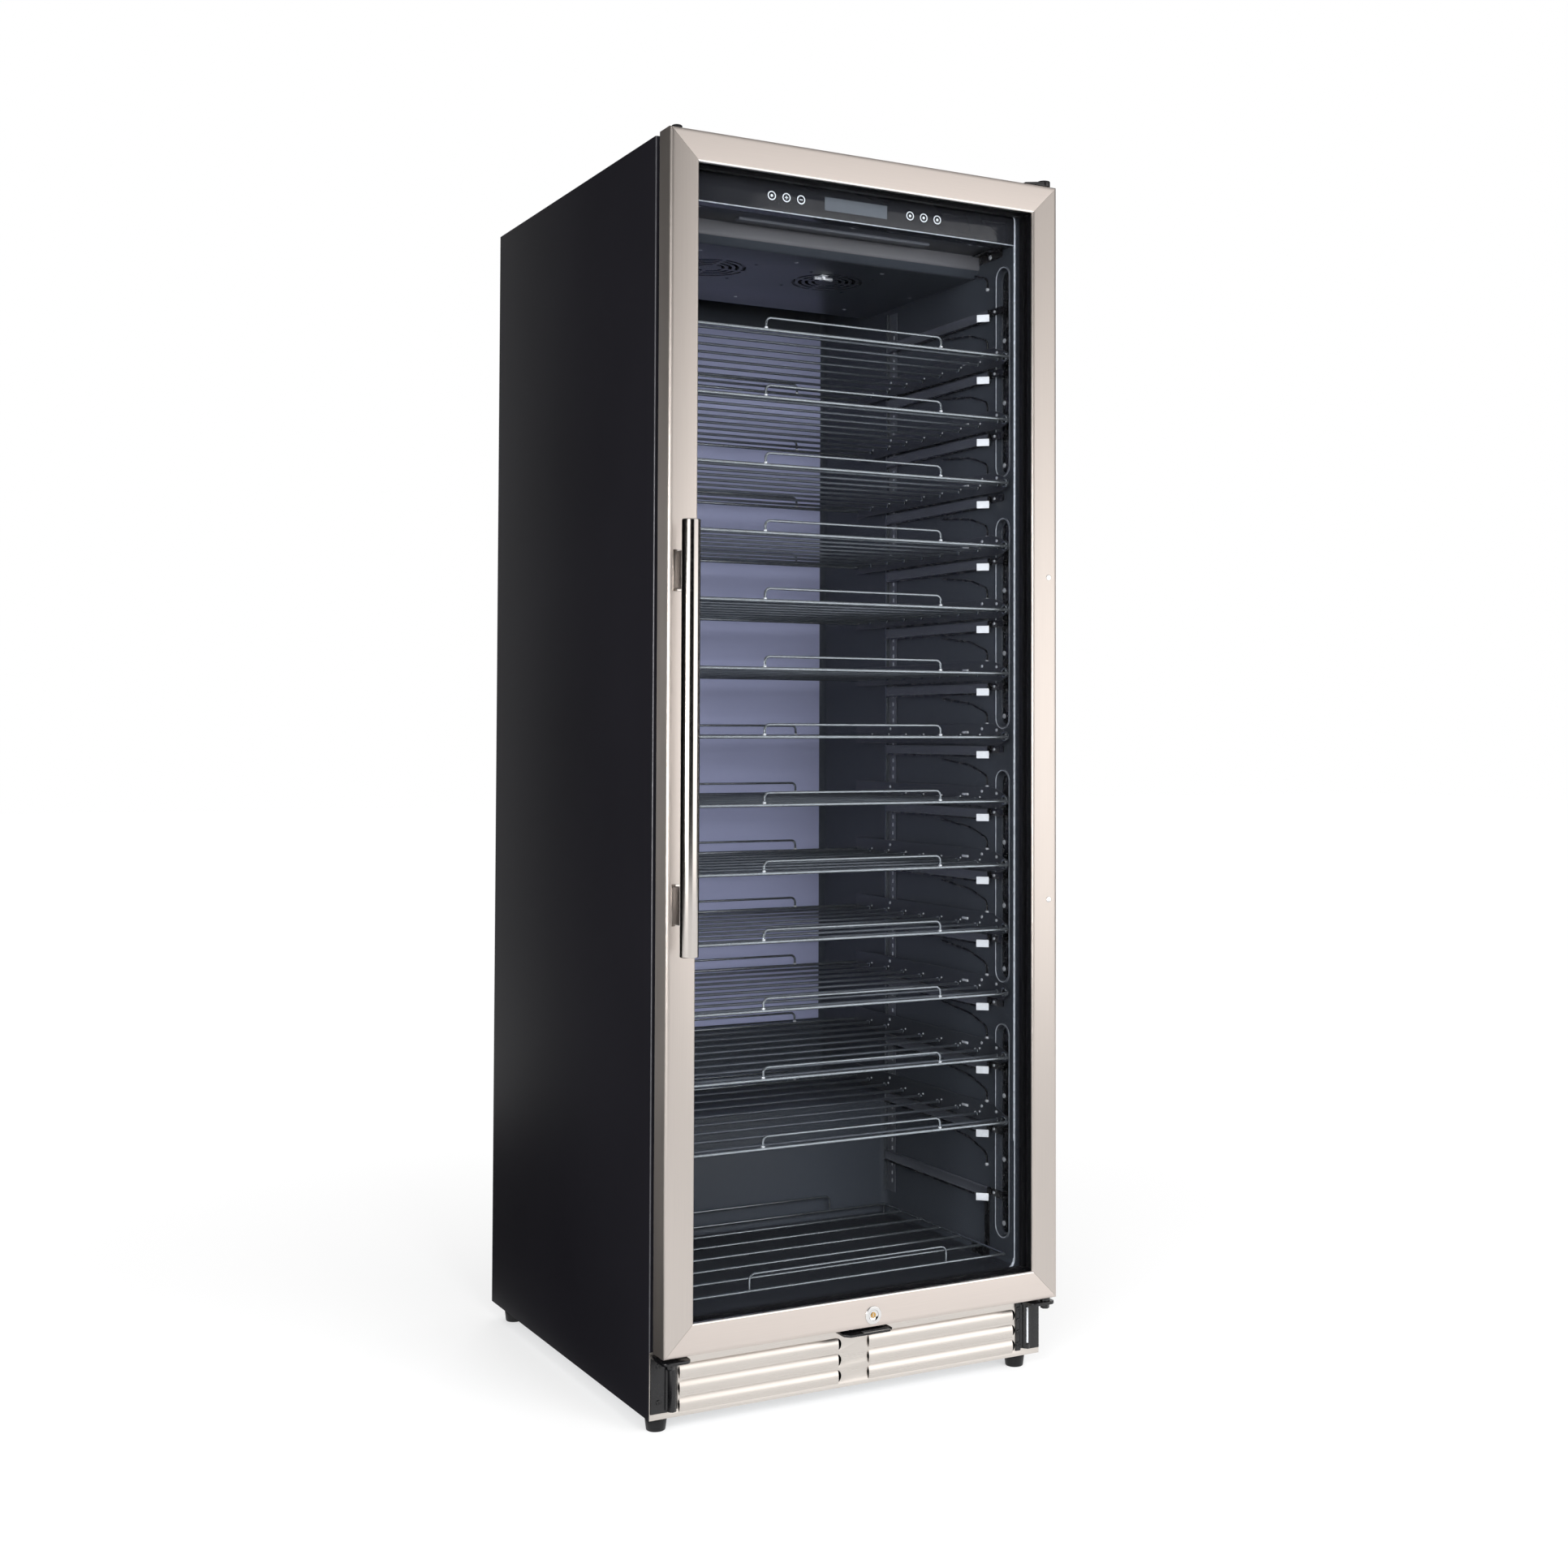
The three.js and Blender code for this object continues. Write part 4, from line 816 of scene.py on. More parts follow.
def liner_shell():
    """The moulded inside: rounded corners, the step over the machinery and the flange round its front."""
    piece = block("liner_shell", (-INNER, INNER), (0, STEP), (FLOOR, CEILING))
    slice_at(piece, ("z", STEP_TOP))
    edit(piece)
    choose_faces(piece, lambda p, n: n.y > 0.9 and p.z > STEP_TOP)
    pull(y=CAVITY_BACK - STEP)
    choose_faces(piece, lambda p, n: n.y < -0.9)
    drop_faces()

    def brow(p):
        return abs(p.y - STEP) < 1 and abs(p.z - STEP_TOP) < 1

    choose_edges(piece, lambda p, d, fold: fold > 1 and not brow(p))
    round_off(14, 5)
    choose_edges(piece, lambda p, d, fold: fold > 1 and brow(p))
    round_off(3, 3)
    choose_edges(piece, lambda p, d, fold: fold < 0)
    rim = HALF - FOLD - 0.3
    low, high = DOOR_LOW, HEIGHT - FOLD - 0.3
    middle = (FLOOR + CEILING) / 2
    pull_edges()
    bpy.ops.transform.resize(
        value=(rim / INNER, 1, (high - low) / (CEILING - FLOOR)),
        center_override=spot(0, 0, middle),
    )
    move(z=(low + high) / 2 - middle)
    choose_edges(piece, lambda p, d, fold: fold > 0.9 and abs(p.y) < 0.1)
    round_off(5, 5)
    flip()
    leave()
    modify(piece, "SOLIDIFY", thickness=1.6 * MM, offset=-1)
    tools = []
    for side in (-1, 1):
        for ends in POCKETS:
            wall = (side * (INNER - 4), side * (INNER + 6))
            tools.append(stadium("tool", "x", ends, POCKET_Y, POCKET_R, wall))
    carve(piece, *tools)
    coat_with(piece, liner_slate)
    # Painted shade on the upward faces of the inside floor.
    trim(piece, floor_painted_shade, lambda p, n: n.z > 0.6 and p.z < FLOOR + 12 and p.y > 4)

    # The faces of the liner's rounded front edge that carry the painted highlight.
    def painted_highlight_strip(p, n):
        upright = abs(p.x) < INNER + 5 and DOOR_LOW + 30 < p.z < DOOR_HIGH - 20
        return upright and 0.3 < p.y < 4.9 and -0.8 < n.y < -0.4

    trim(piece, liner_painted_highlight, painted_highlight_strip)
    return smooth(piece, 30)


def pocket_cup(ends):
    """One recess for the front post of the right wall, with a rounded rim lying on the wall."""
    cup = stadium("cup", "x", ends, POCKET_Y, POCKET_R, (INNER - 0.5, INNER + 10))
    edit(cup)
    choose_faces(cup, lambda p, n: n.x < -0.9)
    drop_faces()
    choose_edges(cup, lambda p, d, fold: fold > 1)
    round_off(2.5, 3)
    choose_edges(cup, lambda p, d, fold: fold < 0)
    pull_edges()
    length = ends[1] - ends[0]
    bpy.ops.transform.resize(
        value=(1, 37.4 / 32, (length + 5.4) / length),
        center_override=spot(INNER, POCKET_Y, sum(ends) / 2),
    )
    choose_edges(cup, lambda p, d, fold: fold > 0.9 and p.x < INNER)
    round_off(1.6, 3)
    flip()
    leave()
    modify(cup, "SOLIDIFY", thickness=0.8 * MM, offset=-1)
    coat_with(cup, liner_slate)
    # Painted highlight on the rounded rim of the recess.
    trim(cup, liner_painted_highlight, lambda p, n: p.x < INNER + 1.7 and abs(n.x) < 0.99)
    return smooth(cup, 30)


def flange_corners():
    """Small plates that fill the square corners outside the flange's rounding."""
    rim = HALF - FOLD - 0.5
    plates = []
    for side in (-1, 1):
        across = sorted((side * (rim - 16), side * rim))
        for z in (DOOR_LOW + 0.3, HEIGHT - FOLD - 16.5):
            plates.append(block("corner", across, (0.4, 1.4), (z, z + 16)))
    return weld("flange_corners", *plates)


fit(liner_shell(), "cabinet", None, ["inner_liner"])
fit(flange_corners(), "cabinet", liner_slate)
cups_right = weld("post_recesses_right", *[pocket_cup(ends) for ends in POCKETS])
cups_left = mirrored(cups_right, "post_recesses_left")
fit(cups_right, "cabinet")
fit(cups_left, "cabinet")


def air_panel():
    """The pale rear panel, with softened edges and a faint upright joint."""
    piece = blank_of("air_panel", "rear_air_panel")
    joint = limits("rear_air_panel")[0].x + 150
    slice_at(piece, ("x", joint), ("x", joint + 1))
    edit(piece)
    choose_faces(piece, lambda p, n: n.y < -0.9 and joint < p.x < joint + 1)
    pull(y=0.6)
    leave()
    return soften(piece, 0.3)


# The rear panel's lavender carries painted bluish light.
fit(air_panel(), "cabinet", panel_lavender_painted_light, ["rear_air_panel"])

# ---- runners

RAIL_OUTER = INNER - 1.8
RAIL_INNER = RAIL_OUTER - 4.9
RAIL_FRONT = 60.0
RAIL_BACK = STEP - 6
POST_Y = (RAIL_BACK - 24, RAIL_BACK)


def runner(level):
    """A telescopic rail of the right side: channel with folded edges, front hook, stop, catch and bolts."""
    low, high = level - 9, level + 4.5
    channel = block("channel", (RAIL_INNER, RAIL_OUTER), (RAIL_FRONT, RAIL_BACK), (low, high))
    edit(channel)
    choose_faces(channel, lambda p, n: n.x < -0.9)
    inset(1.3)
    pull(x=1.1)
    leave()
    coat_with(soften(channel, 0.5), runner_grey)
    lip = block("lip", (RAIL_INNER - 0.6, RAIL_OUTER), (RAIL_FRONT, RAIL_BACK), (low - 2.2, low - 0.2))
    hook = block("hook", (RAIL_OUTER - 1.5, RAIL_OUTER), (24, RAIL_FRONT + 2), (level - 5, level + 5))
    round_edges(hook, 3.5, 3, lambda p, d, fold: abs(d.x) > 0.9 and p.y < 30)
    peg = bar("peg", "x", (POCKET_Y, level), 3, (RAIL_OUTER - 0.5, INNER + 8), 12)
    catch = bend_wire(
        "catch",
        [
            (INNER - 2.4, 67, level + 37),
            (INNER - 2.4, 67, level + 52),
            (INNER - 2.4, 112, level + 66),
            (INNER - 2.4, 190, level + 74),
        ],
        1.3,
        7,
    )
    dark = [soften(lip, 0.4), hook, soften(hook_stop(level), 0.4), peg, catch]
    bolts = [
        soften(bar("bolt", "x", (67, level + 36), 2.4, (INNER - 4.4, INNER - 0.6), 12), 0.6),
        soften(bar("bolt", "x", (46, level), 1.9, (RAIL_OUTER - 3.4, RAIL_OUTER - 1), 12), 0.6),
    ]
    parts = [coat_with(p, coated_black) for p in dark] + [coat_with(p, bolt_steel) for p in bolts]
    return weld("runner", channel, *parts)


def hook_stop(level):
    return block("stop", (RAIL_INNER, RAIL_OUTER), (RAIL_FRONT - 2, RAIL_FRONT + 0.5), (level - 5, level + 5))


def front_post():
    """The slotted strip in the recesses, with a screw at each level."""
    low, high = POCKETS[0][0] + 6, POCKETS[-1][1] - 6
    strips = []
    for ends in POCKETS:
        strip = stadium("strip", "x", (ends[0] + 5, ends[1] - 5), POCKET_Y, 10, (INNER + 7.6, INNER + 9))
        strips.append(soften(strip, 0.4))
    screws = []
    for level in LEVELS[:-1]:
        z = level + 47.5
        if low < z < high and any(a + 12 < z < b - 12 for a, b in POCKETS):
            screws.append(screw_at(INNER + 7.2, POCKET_Y + 6, z, "-x"))
            screws.append(screw_at(INNER + 7.2, POCKET_Y - 6, z, "-x", screw_dark))
    return strips, screws


def rear_post():
    """The upright at the back, with a row of small slots."""
    low, high = POCKETS[0][0] + 2, DUCT_LOW - 8
    post = block("post", (RAIL_OUTER, RAIL_OUTER + 1.5), POST_Y, (low, high))
    round_edges(post, 0.6, 2, lambda p, d, fold: fold > 1 and abs(d.z) > 0.9)
    lip = block("lip", (RAIL_OUTER - 5, RAIL_OUTER + 1), (POST_Y[1] - 1.4, POST_Y[1]), (low, high))
    dots = stadium(
        "slot", "x", (low + 14, low + 20), POST_Y[0] + 8, 1.6, (RAIL_OUTER - 0.5, RAIL_OUTER + 0.5), 10
    )
    repeat(dots, int((high - low - 30) / 12.5), z=12.5)
    # The lip takes the wire's painted highlight tone.
    return coat_with(post, runner_grey), coat_with(soften(lip, 0.4), wire_painted_highlight), coat_with(dots, bolt_steel)


def floor_rest():
    """Short rest and strap that carry the front of the floor rack."""
    deck = FLOOR + 19
    rest = block("rest", (RAIL_INNER, RAIL_OUTER), (RAIL_FRONT, RAIL_FRONT + 40), (FLOOR + 1, deck - 2.3))
    strap = block(
        "strap", (RAIL_OUTER - 1.5, RAIL_OUTER), (RAIL_FRONT, RAIL_FRONT + 12), (deck - 4, LEVELS[1])
    )
    return soften(rest, 0.6), soften(strap, 0.5)


def shelf_rack():
    first = runner(LEVELS[1])
    rails = [first] + [again(first, "rail", z=(n - 1) * PITCH) for n in range(2, 16)]
    strips, screws = front_post()
    post, lip, dots = rear_post()
    plain = [coat_with(p, coated_black) for p in [*strips, *floor_rest()]]
    return weld("shelf_rack_right", *rails, *plain, *screws, post, lip, dots)


rack_right = shelf_rack()
rack_left = mirrored(rack_right, "shelf_rack_left")
fit(rack_right, "cabinet", None, ["runner_rack_right"])
fit(rack_left, "cabinet", None, ["runner_rack_left"])


def level_tags():
    """A blank tag at the front of every runner of the right side, turned towards the door."""
    z = (LEVELS[1] - 13, LEVELS[1] - 2.6)
    first = block("tag", (RAIL_INNER - 18.5, RAIL_INNER - 0.5), (55, 55.8), z)
    edit(first)
    bpy.ops.mesh.select_all(action="SELECT")
    bpy.ops.transform.rotate(
        value=math.radians(42), orient_axis="Z", center_override=spot(RAIL_INNER - 0.5, 55, z[0])
    )
    leave()
    soften(first, 0.2)
    return repeat(first, 15, z=PITCH)


tags_right = level_tags()
tags_right.name = "level_tags_right"
tags_left = mirrored(tags_right, "level_tags_left")
fit(tags_right, "cabinet", tag_white)
fit(tags_left, "cabinet", tag_white)

# ---- shelves

CHEEK_X = INNER - 9
GUARD_REACH = 136
SHELF_FRONT = deep(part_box("shelf_01")[0].y)
SHELF_BACK = deep(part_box("shelf_01")[1].y)
WIRE_PLACES = [26 + 52.2 * n for n in range(8)]
WIRE_PLACES = [y for y in WIRE_PLACES if y < SHELF_BACK - 26]


def cheek(level):
    """The folded side plate of a shelf with its sloped nose, row of studs and ledge."""
    low, deck = level + LEDGE_RISE, level + DECK_RISE
    top = deck + 19
    plate_x = (CHEEK_X - 1.2, CHEEK_X)
    side = block("cheek", plate_x, (SHELF_FRONT, SHELF_BACK), (low, top))
    slice_at(side, ("y", SHELF_FRONT + 20), ("y", SHELF_FRONT + 40))
    edit(side)
    choose_points(side, lambda p: p.y < SHELF_FRONT + 1 and p.z > deck)
    move(z=deck + 6 - top)
    choose_points(side, lambda p: abs(p.y - SHELF_FRONT - 20) < 1 and p.z > deck)
    move(z=(deck + 6 - top) / 2)
    choose_points(side, lambda p: p.y < SHELF_FRONT + 1 and p.z < deck)
    move(z=deck - 4 - low)
    choose_edges(side, lambda p, d, fold: fold > 0.15 and abs(d.x) > 0.9 and p.y < 60)
    round_off(4, 3)
    leave()
    soften(side, 0.3, 1)
    ledge = block("ledge", (CHEEK_X - 1.2, RAIL_OUTER - 1), (RAIL_FRONT, RAIL_BACK - 6), (low, low + 1.5))
    pips = []
    for y in WIRE_PLACES[1:]:
        pips.append(bar("pip", "x", (y + 6, deck + 0.5), 1.9, (CHEEK_X - 3.4, CHEEK_X - 1.1), 10))
        pips.append(bar("pip", "x", (y - 5, deck + 3.5), 1.4, (CHEEK_X - 2.6, CHEEK_X - 1.1), 10))
    pips = [coat_with(soften(weld("pips", *pips), 0.5), bolt_steel)]
    return [coat_with(side, cheek_slate), coat_with(soften(ledge, 0.3, 1), coated_black)] + pips


def nose_ring(level):
    """Rolled eye at the front corner of a cheek, with its bolt."""
    deck = level + DECK_RISE
    deselect()
    bpy.ops.mesh.primitive_torus_add(
        location=spot(CHEEK_X - 2.6, SHELF_FRONT + 8, deck + 1),
        rotation=(0, math.pi / 2, 0),
        major_radius=5.6 * MM,
        minor_radius=1.4 * MM,
        major_segments=20,
        minor_segments=8,
    )
    ring = settle(bpy.context.object)
    pin = bar("pin", "x", (SHELF_FRONT + 8, deck + 1), 2.2, (CHEEK_X - 5.2, CHEEK_X - 0.6), 12)
    soften(pin, 0.5)
    # The ring takes the wire's painted highlight tone.
    return [coat_with(smooth(ring), wire_painted_highlight), coat_with(pin, coated_black)]


def cross_wire(y, deck, radius, half, material, sides=12):
    return coat_with(smooth(bar("wire", "x", (y, deck), radius, (-half, half), sides)), material)


def guard_rail(y, deck, reach, rise, bend):
    """A rail that stands up from the wires, as wide as its reach to either side."""
    path = [(-reach, y, deck), (-reach, y, deck + rise), (reach, y, deck + rise), (reach, y, deck)]
    # Guard rails take the wire's painted highlight tone.
    return coat_with(bend_wire("guard", path, 1.75, bend), wire_painted_highlight)


def shelf_model(level):
    """A sliding shelf: cheeks, cross wires, guard rails front and back, clips and bolts."""
    deck = level + DECK_RISE
    half = CHEEK_X - 0.6
    sides = cheek(level) + nose_ring(level)
    clip = block("clip", (CHEEK_X - 3.4, CHEEK_X - 1.1), (104, 119), (deck + 5, deck + 8.5))
    sides.append(coat_with(soften(clip, 0.7), bolt_steel))
    for y, z in ((30, deck + 10), (68, deck + 12), (330, deck + 12)):
        sides.append(coat_with(bar("bolt", "x", (y, z), 2.1, (CHEEK_X - 2.4, CHEEK_X - 1.1), 10), bolt_steel))
    right = weld("right", *sides)
    left = mirrored(right, "left")
    parts = [right, left]
    for y in WIRE_PLACES:
        parts.append(cross_wire(y, deck, 2, half, wire_black))
        for side in (-1, 1):
            ends = (side * (half - 4), side * (half - 0.8))
            ferrule = soften(bar("ferrule", "x", (y, deck), 3.1, ends, 12), 0.8)
            # Ferrules take the wire's painted highlight tone.
            parts.append(coat_with(ferrule, wire_painted_highlight))
    for y in (SHELF_FRONT + 2, SHELF_BACK - 2):
        # Front and back rails take the wire's painted highlight tone.
        parts.append(cross_wire(y, deck, 2.4, half, wire_painted_highlight, 14))
    for y in (SHELF_FRONT + 1.9, SHELF_BACK - 1.9):
        parts.append(guard_rail(y, deck, GUARD_REACH, 16.2, 7))
        for side in (-1, 1):
            foot_bead = bar("bead", "z", (side * GUARD_REACH, y), 2.6, (deck + 1.6, deck + 4.2), 12)
            parts.append(coat_with(soften(foot_bead, 0.8), bolt_steel))
    return weld("shelf_model", *parts)


shelf_source = shelf_model(LEVELS[2])
for number, shelf_name in enumerate(SHELVES):
    rise = tall(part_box(shelf_name)[0].z) - (LEVELS[2] + LEDGE_RISE)
    made = again(shelf_source, shelf_name + "_wires", z=rise)
    fit(made, shelf_name, None, [shelf_name])
bpy.data.objects.remove(shelf_source)


def floor_rack():
    deck = FLOOR + 19
    front, back = 11.0, 348.0
    half = CHEEK_X
    parts = []
    for n in range(7):
        y = front + n * (back - front) / 6
        # The floor rack's cross wires take the painted highlight tone.
        parts.append(cross_wire(y, deck, 2, half, wire_painted_highlight))
    for side in (-1, 1):
        x = side * (half - 2)
        edge = [
            (x, front - 1, deck + 0.8),
            (x, back - 2, deck + 0.8),
            (x, back - 2, FLOOR + 0.6),
        ]
        # The floor rack's side edges take the painted highlight tone.
        parts.append(coat_with(bend_wire("edge", edge, 2, 6), wire_painted_highlight))
        rest = bar("rest", "x", (RAIL_FRONT + 24, deck), 2, (side * (half - 1), side * (RAIL_OUTER - 1)), 12)
        parts.append(coat_with(smooth(rest), wire_black))
    for y in (front, back):
        parts.append(guard_rail(y, deck, 151, 22.2, 8))
    return weld("floor_rack", *parts)


fit(floor_rack(), "cabinet", None, ["bottom_rack"])

# ---- controls

KEY_PLACES = [middle_of(f"key_{n}") for n in range(1, 7)]
CONTROL_Z = KEY_PLACES[0].z
FASCIA_FRONT = deep(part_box("control_fascia")[0].y)
FASCIA_LOW = tall(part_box("control_fascia")[0].z)


def fascia():
    """The glossy control panel with a window, key holes and rounded front edges."""
    half = INNER - 0.3
    y = (FASCIA_FRONT, FASCIA_FRONT + 24)
    piece = block("fascia", (-half, half), y, (FASCIA_LOW, CEILING - 0.3))
    round_edges(piece, 2, 4, lambda p, d, fold: fold > 1 and p.y < y[0] + 1 and abs(d.x) > 0.9)
    holes = [bar("hole", "y", (p.x, CONTROL_Z), 7.3, (y[0] - 5, y[0] + 9), 40) for p in KEY_PLACES]
    window = block("window", (-49, 49), (y[0] - 5, y[0] + 3.4), (CONTROL_Z - 9.5, CONTROL_Z + 9.5))
    carve(piece, window, *holes)
    coat_with(piece, gloss_black)
    # Painted highlight along the fascia's rounded lower edge.
    trim(piece, liner_painted_highlight, lambda p, n: p.z < FASCIA_LOW + 2.1 and n.y < -0.05 and n.z < -0.3)
    return smooth(piece)


def display():
    y = FASCIA_FRONT
    piece = block("display", (-48.7, 48.7), (y + 0.25, y + 3.2), (CONTROL_Z - 9.2, CONTROL_Z + 9.2))
    edit(piece)
    choose_faces(piece, lambda p, n: n.y < -0.9)
    inset(1.2, -0.2)
    leave()
    return soften(piece, 0.15)


fit(fascia(), "cabinet", None, ["control_fascia"])
fit(display(), "cabinet", display_grey, ["display_window"])


def key_cap(number, place):
    """A round key: dark cap, pale ring and its sign."""
    front = deep(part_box(f"key_{number}")[0].y)
    cap = bar("cap", "y", (place.x, place.z), 7, (front + 0.25, front + 6), 40)
    round_edges(cap, 0.5, 2, lambda p, d, fold: fold > 1 and p.y < front + 1)
    coat_with(smooth(cap), gloss_black)
    ring = bar("ring", "y", (place.x, place.z), 6.1, (front, front + 0.5), 40)
    carve(ring, bar("bore", "y", (place.x, place.z), 4.7, (front - 2, front + 3), 40))
    marks = [ring]
    y = (front, front + 0.5)
    if number in (2, 3):
        marks.append(block("sign", (place.x - 2.4, place.x + 2.4), y, (place.z - 0.55, place.z + 0.55)))
    if number == 2:
        marks.append(block("sign", (place.x - 0.55, place.x + 0.55), y, (place.z - 2.4, place.z + 2.4)))
    if number in (1, 4, 5, 6):
        marks.append(bar("dot", "y", (place.x, place.z), 1.9, y, 24))
    marks = [coat_with(smooth(m), sign_grey) for m in marks]
    return weld(f"key_cap_{number}", cap, *marks)


for number, place in enumerate(KEY_PLACES, 1):
    fit(key_cap(number, place), f"key_{number}", None, [f"key_{number}"])

# ---- duct and fans

FAN_XS = [middle_of(f"evaporator_fan_{side}").x for side in ("left", "right")]
FAN_Y = 227.0
DUCT_FRONT = 92.0
DUCT_BACK = 428.0
TRAY = CEILING - 43
FASCIA_BACK = FASCIA_FRONT + 24.3


def duct_cover():
    """The pressed cover under the ceiling: sloped front, two fan grilles in its floor and the front tray."""
    half = INNER - 0.3
    piece = block("duct_cover", (-half, half), (DUCT_FRONT, DUCT_BACK), (DUCT_LOW, CEILING - 0.3))
    slice_at(piece, ("z", DUCT_LOW + 13))
    edit(piece)
    choose_points(piece, lambda p: p.y < DUCT_FRONT + 1 and p.z < DUCT_LOW + 1)
    move(y=12)
    choose_faces(piece, lambda p, n: n.z > 0.9)
    drop_faces()
    choose_edges(piece, lambda p, d, fold: fold > 0.4 and abs(d.x) > 0.9)
    round_off(3, 3)
    leave()
    modify(piece, "SOLIDIFY", thickness=1.5 * MM, offset=-1)
    for x in FAN_XS:
        tools = [ring_slots(x, radius) for radius in (20, 30, 40, 50)]
        for dx, dy in ((-1, -1), (1, -1), (-1, 1), (1, 1)):
            centre = (x + dx * 51, FAN_Y + dy * 48)
            tools.append(bar("hole", "z", centre, 2.6, (DUCT_LOW - 5, DUCT_LOW + 5), 12))
        carve(piece, *tools)
    coat_with(piece, liner_slate)
    # The front face is painted lighter than the rest of the cover, as painted light.
    trim(piece, duct_front_painted_light, lambda p, n: p.y < DUCT_FRONT + 13 and n.y < -0.4 and p.z > DUCT_LOW + 8)
    tray = block("tray", (-half, half), (FASCIA_BACK, DUCT_FRONT + 1), (TRAY, TRAY + 1.5))
    coat_with(soften(tray, 0.5, 3), liner_slate)
    lip = block("lip", (-half, half), (FASCIA_BACK, FASCIA_BACK + 2.2), (TRAY - 2.4, TRAY + 1.2))
    # The tray's lip carries the painted highlight finish.
    coat_with(soften(lip, 0.9, 3), liner_painted_highlight)
    return smooth(weld("duct_cover", piece, tray, lip), 30)


def ring_slots(x, radius):
    """Four curved slots round a fan's centre, as one cutting tool."""
    ends = (DUCT_LOW - 6, DUCT_LOW + 6)
    ring = bar("ring", "z", (x, FAN_Y), radius + 2.6, ends, 64)
    carve(ring, bar("core", "z", (x, FAN_Y), radius - 2.6, (ends[0] - 2, ends[1] + 2), 64))
    half = radius + 8
    carve(ring, block("bridge", (x - half, x + half), (FAN_Y - 3, FAN_Y + 3), (ends[0] - 2, ends[1] + 2)))
    carve(ring, block("bridge", (x - 3, x + 3), (FAN_Y - half, FAN_Y + half), (ends[0] - 2, ends[1] + 2)))
    return ring


def duct_screws():
    places = [(-170, 140), (-20, 140), (120, 140), (237, 258), (-237, 258), (-190, 380), (0, 380), (190, 380)]
    screws = [screw_at(x, y, DUCT_LOW + 0.4, "-z") for x, y in places]
    screws += [screw_at(x, FASCIA_BACK + 6, TRAY - 1.2, "-z") for x in (-222, 12, 203, 221)]
    probe = bar("probe", "x", (192, DUCT_LOW - 4.5), 2.6, (36, 66), 16)
    clip = block("clip", (44, 56), (184, 200), (DUCT_LOW - 1.6, DUCT_LOW - 0.2))
    edit(clip)
    choose_faces(clip, lambda p, n: n.z < -0.9)
    inset(3)
    pull(z=-5.4)
    leave()
    screws += [coat_with(soften(p, 0.7), bolt_steel) for p in (probe, clip)]
    return weld("duct_screws", *screws)


def duct_brackets():
    """Angle brackets that hold the cover to the side walls."""
    made = []
    for side in (-1, 1):
        x = (side * (INNER - 0.4), side * (INNER - 2))
        angle = block("angle", x, (30, 90), (TRAY - 13, TRAY - 1))
        made.append(soften(angle, 0.6))
        foot_x = (side * (INNER - 0.4), side * (INNER - 14))
        made.append(soften(block("flange", foot_x, (30, 90), (TRAY - 2.2, TRAY - 0.4)), 0.5))
        made.append(screw_at(side * (INNER - 2.4), 60, TRAY - 8, "-x" if side > 0 else "+x"))
    return weld("duct_brackets", *[p if p.data.materials else coat_with(p, coated_black) for p in made])


def light():
    piece = blank_of("light", "led_bar")
    under = limits("led_bar")[0].z
    round_edges(piece, 1.6, 4, lambda p, d, fold: fold > 1 and p.z < under + 1)
    return smooth(piece)


fit(duct_cover(), "cabinet", None, ["fan_duct_cover"])
fit(duct_screws(), "cabinet")
fit(duct_brackets(), "cabinet")
fit(light(), "cabinet", light_cover, ["led_bar"])

# ---- door

EDGE = 6.0  # rounding of the frame's outer edges
LIP = 3.8  # and of the edge round the glass
SEAM = 0.15  # half the joint between two members
GROOVE = (DOOR_FRONT + 4, DOOR_FRONT + 26)
PIN = (284, -36)  # centre of the hinge pins, across and back
LOCK = (3, DOOR_LOW + 16)  # centre of the lock, across and up


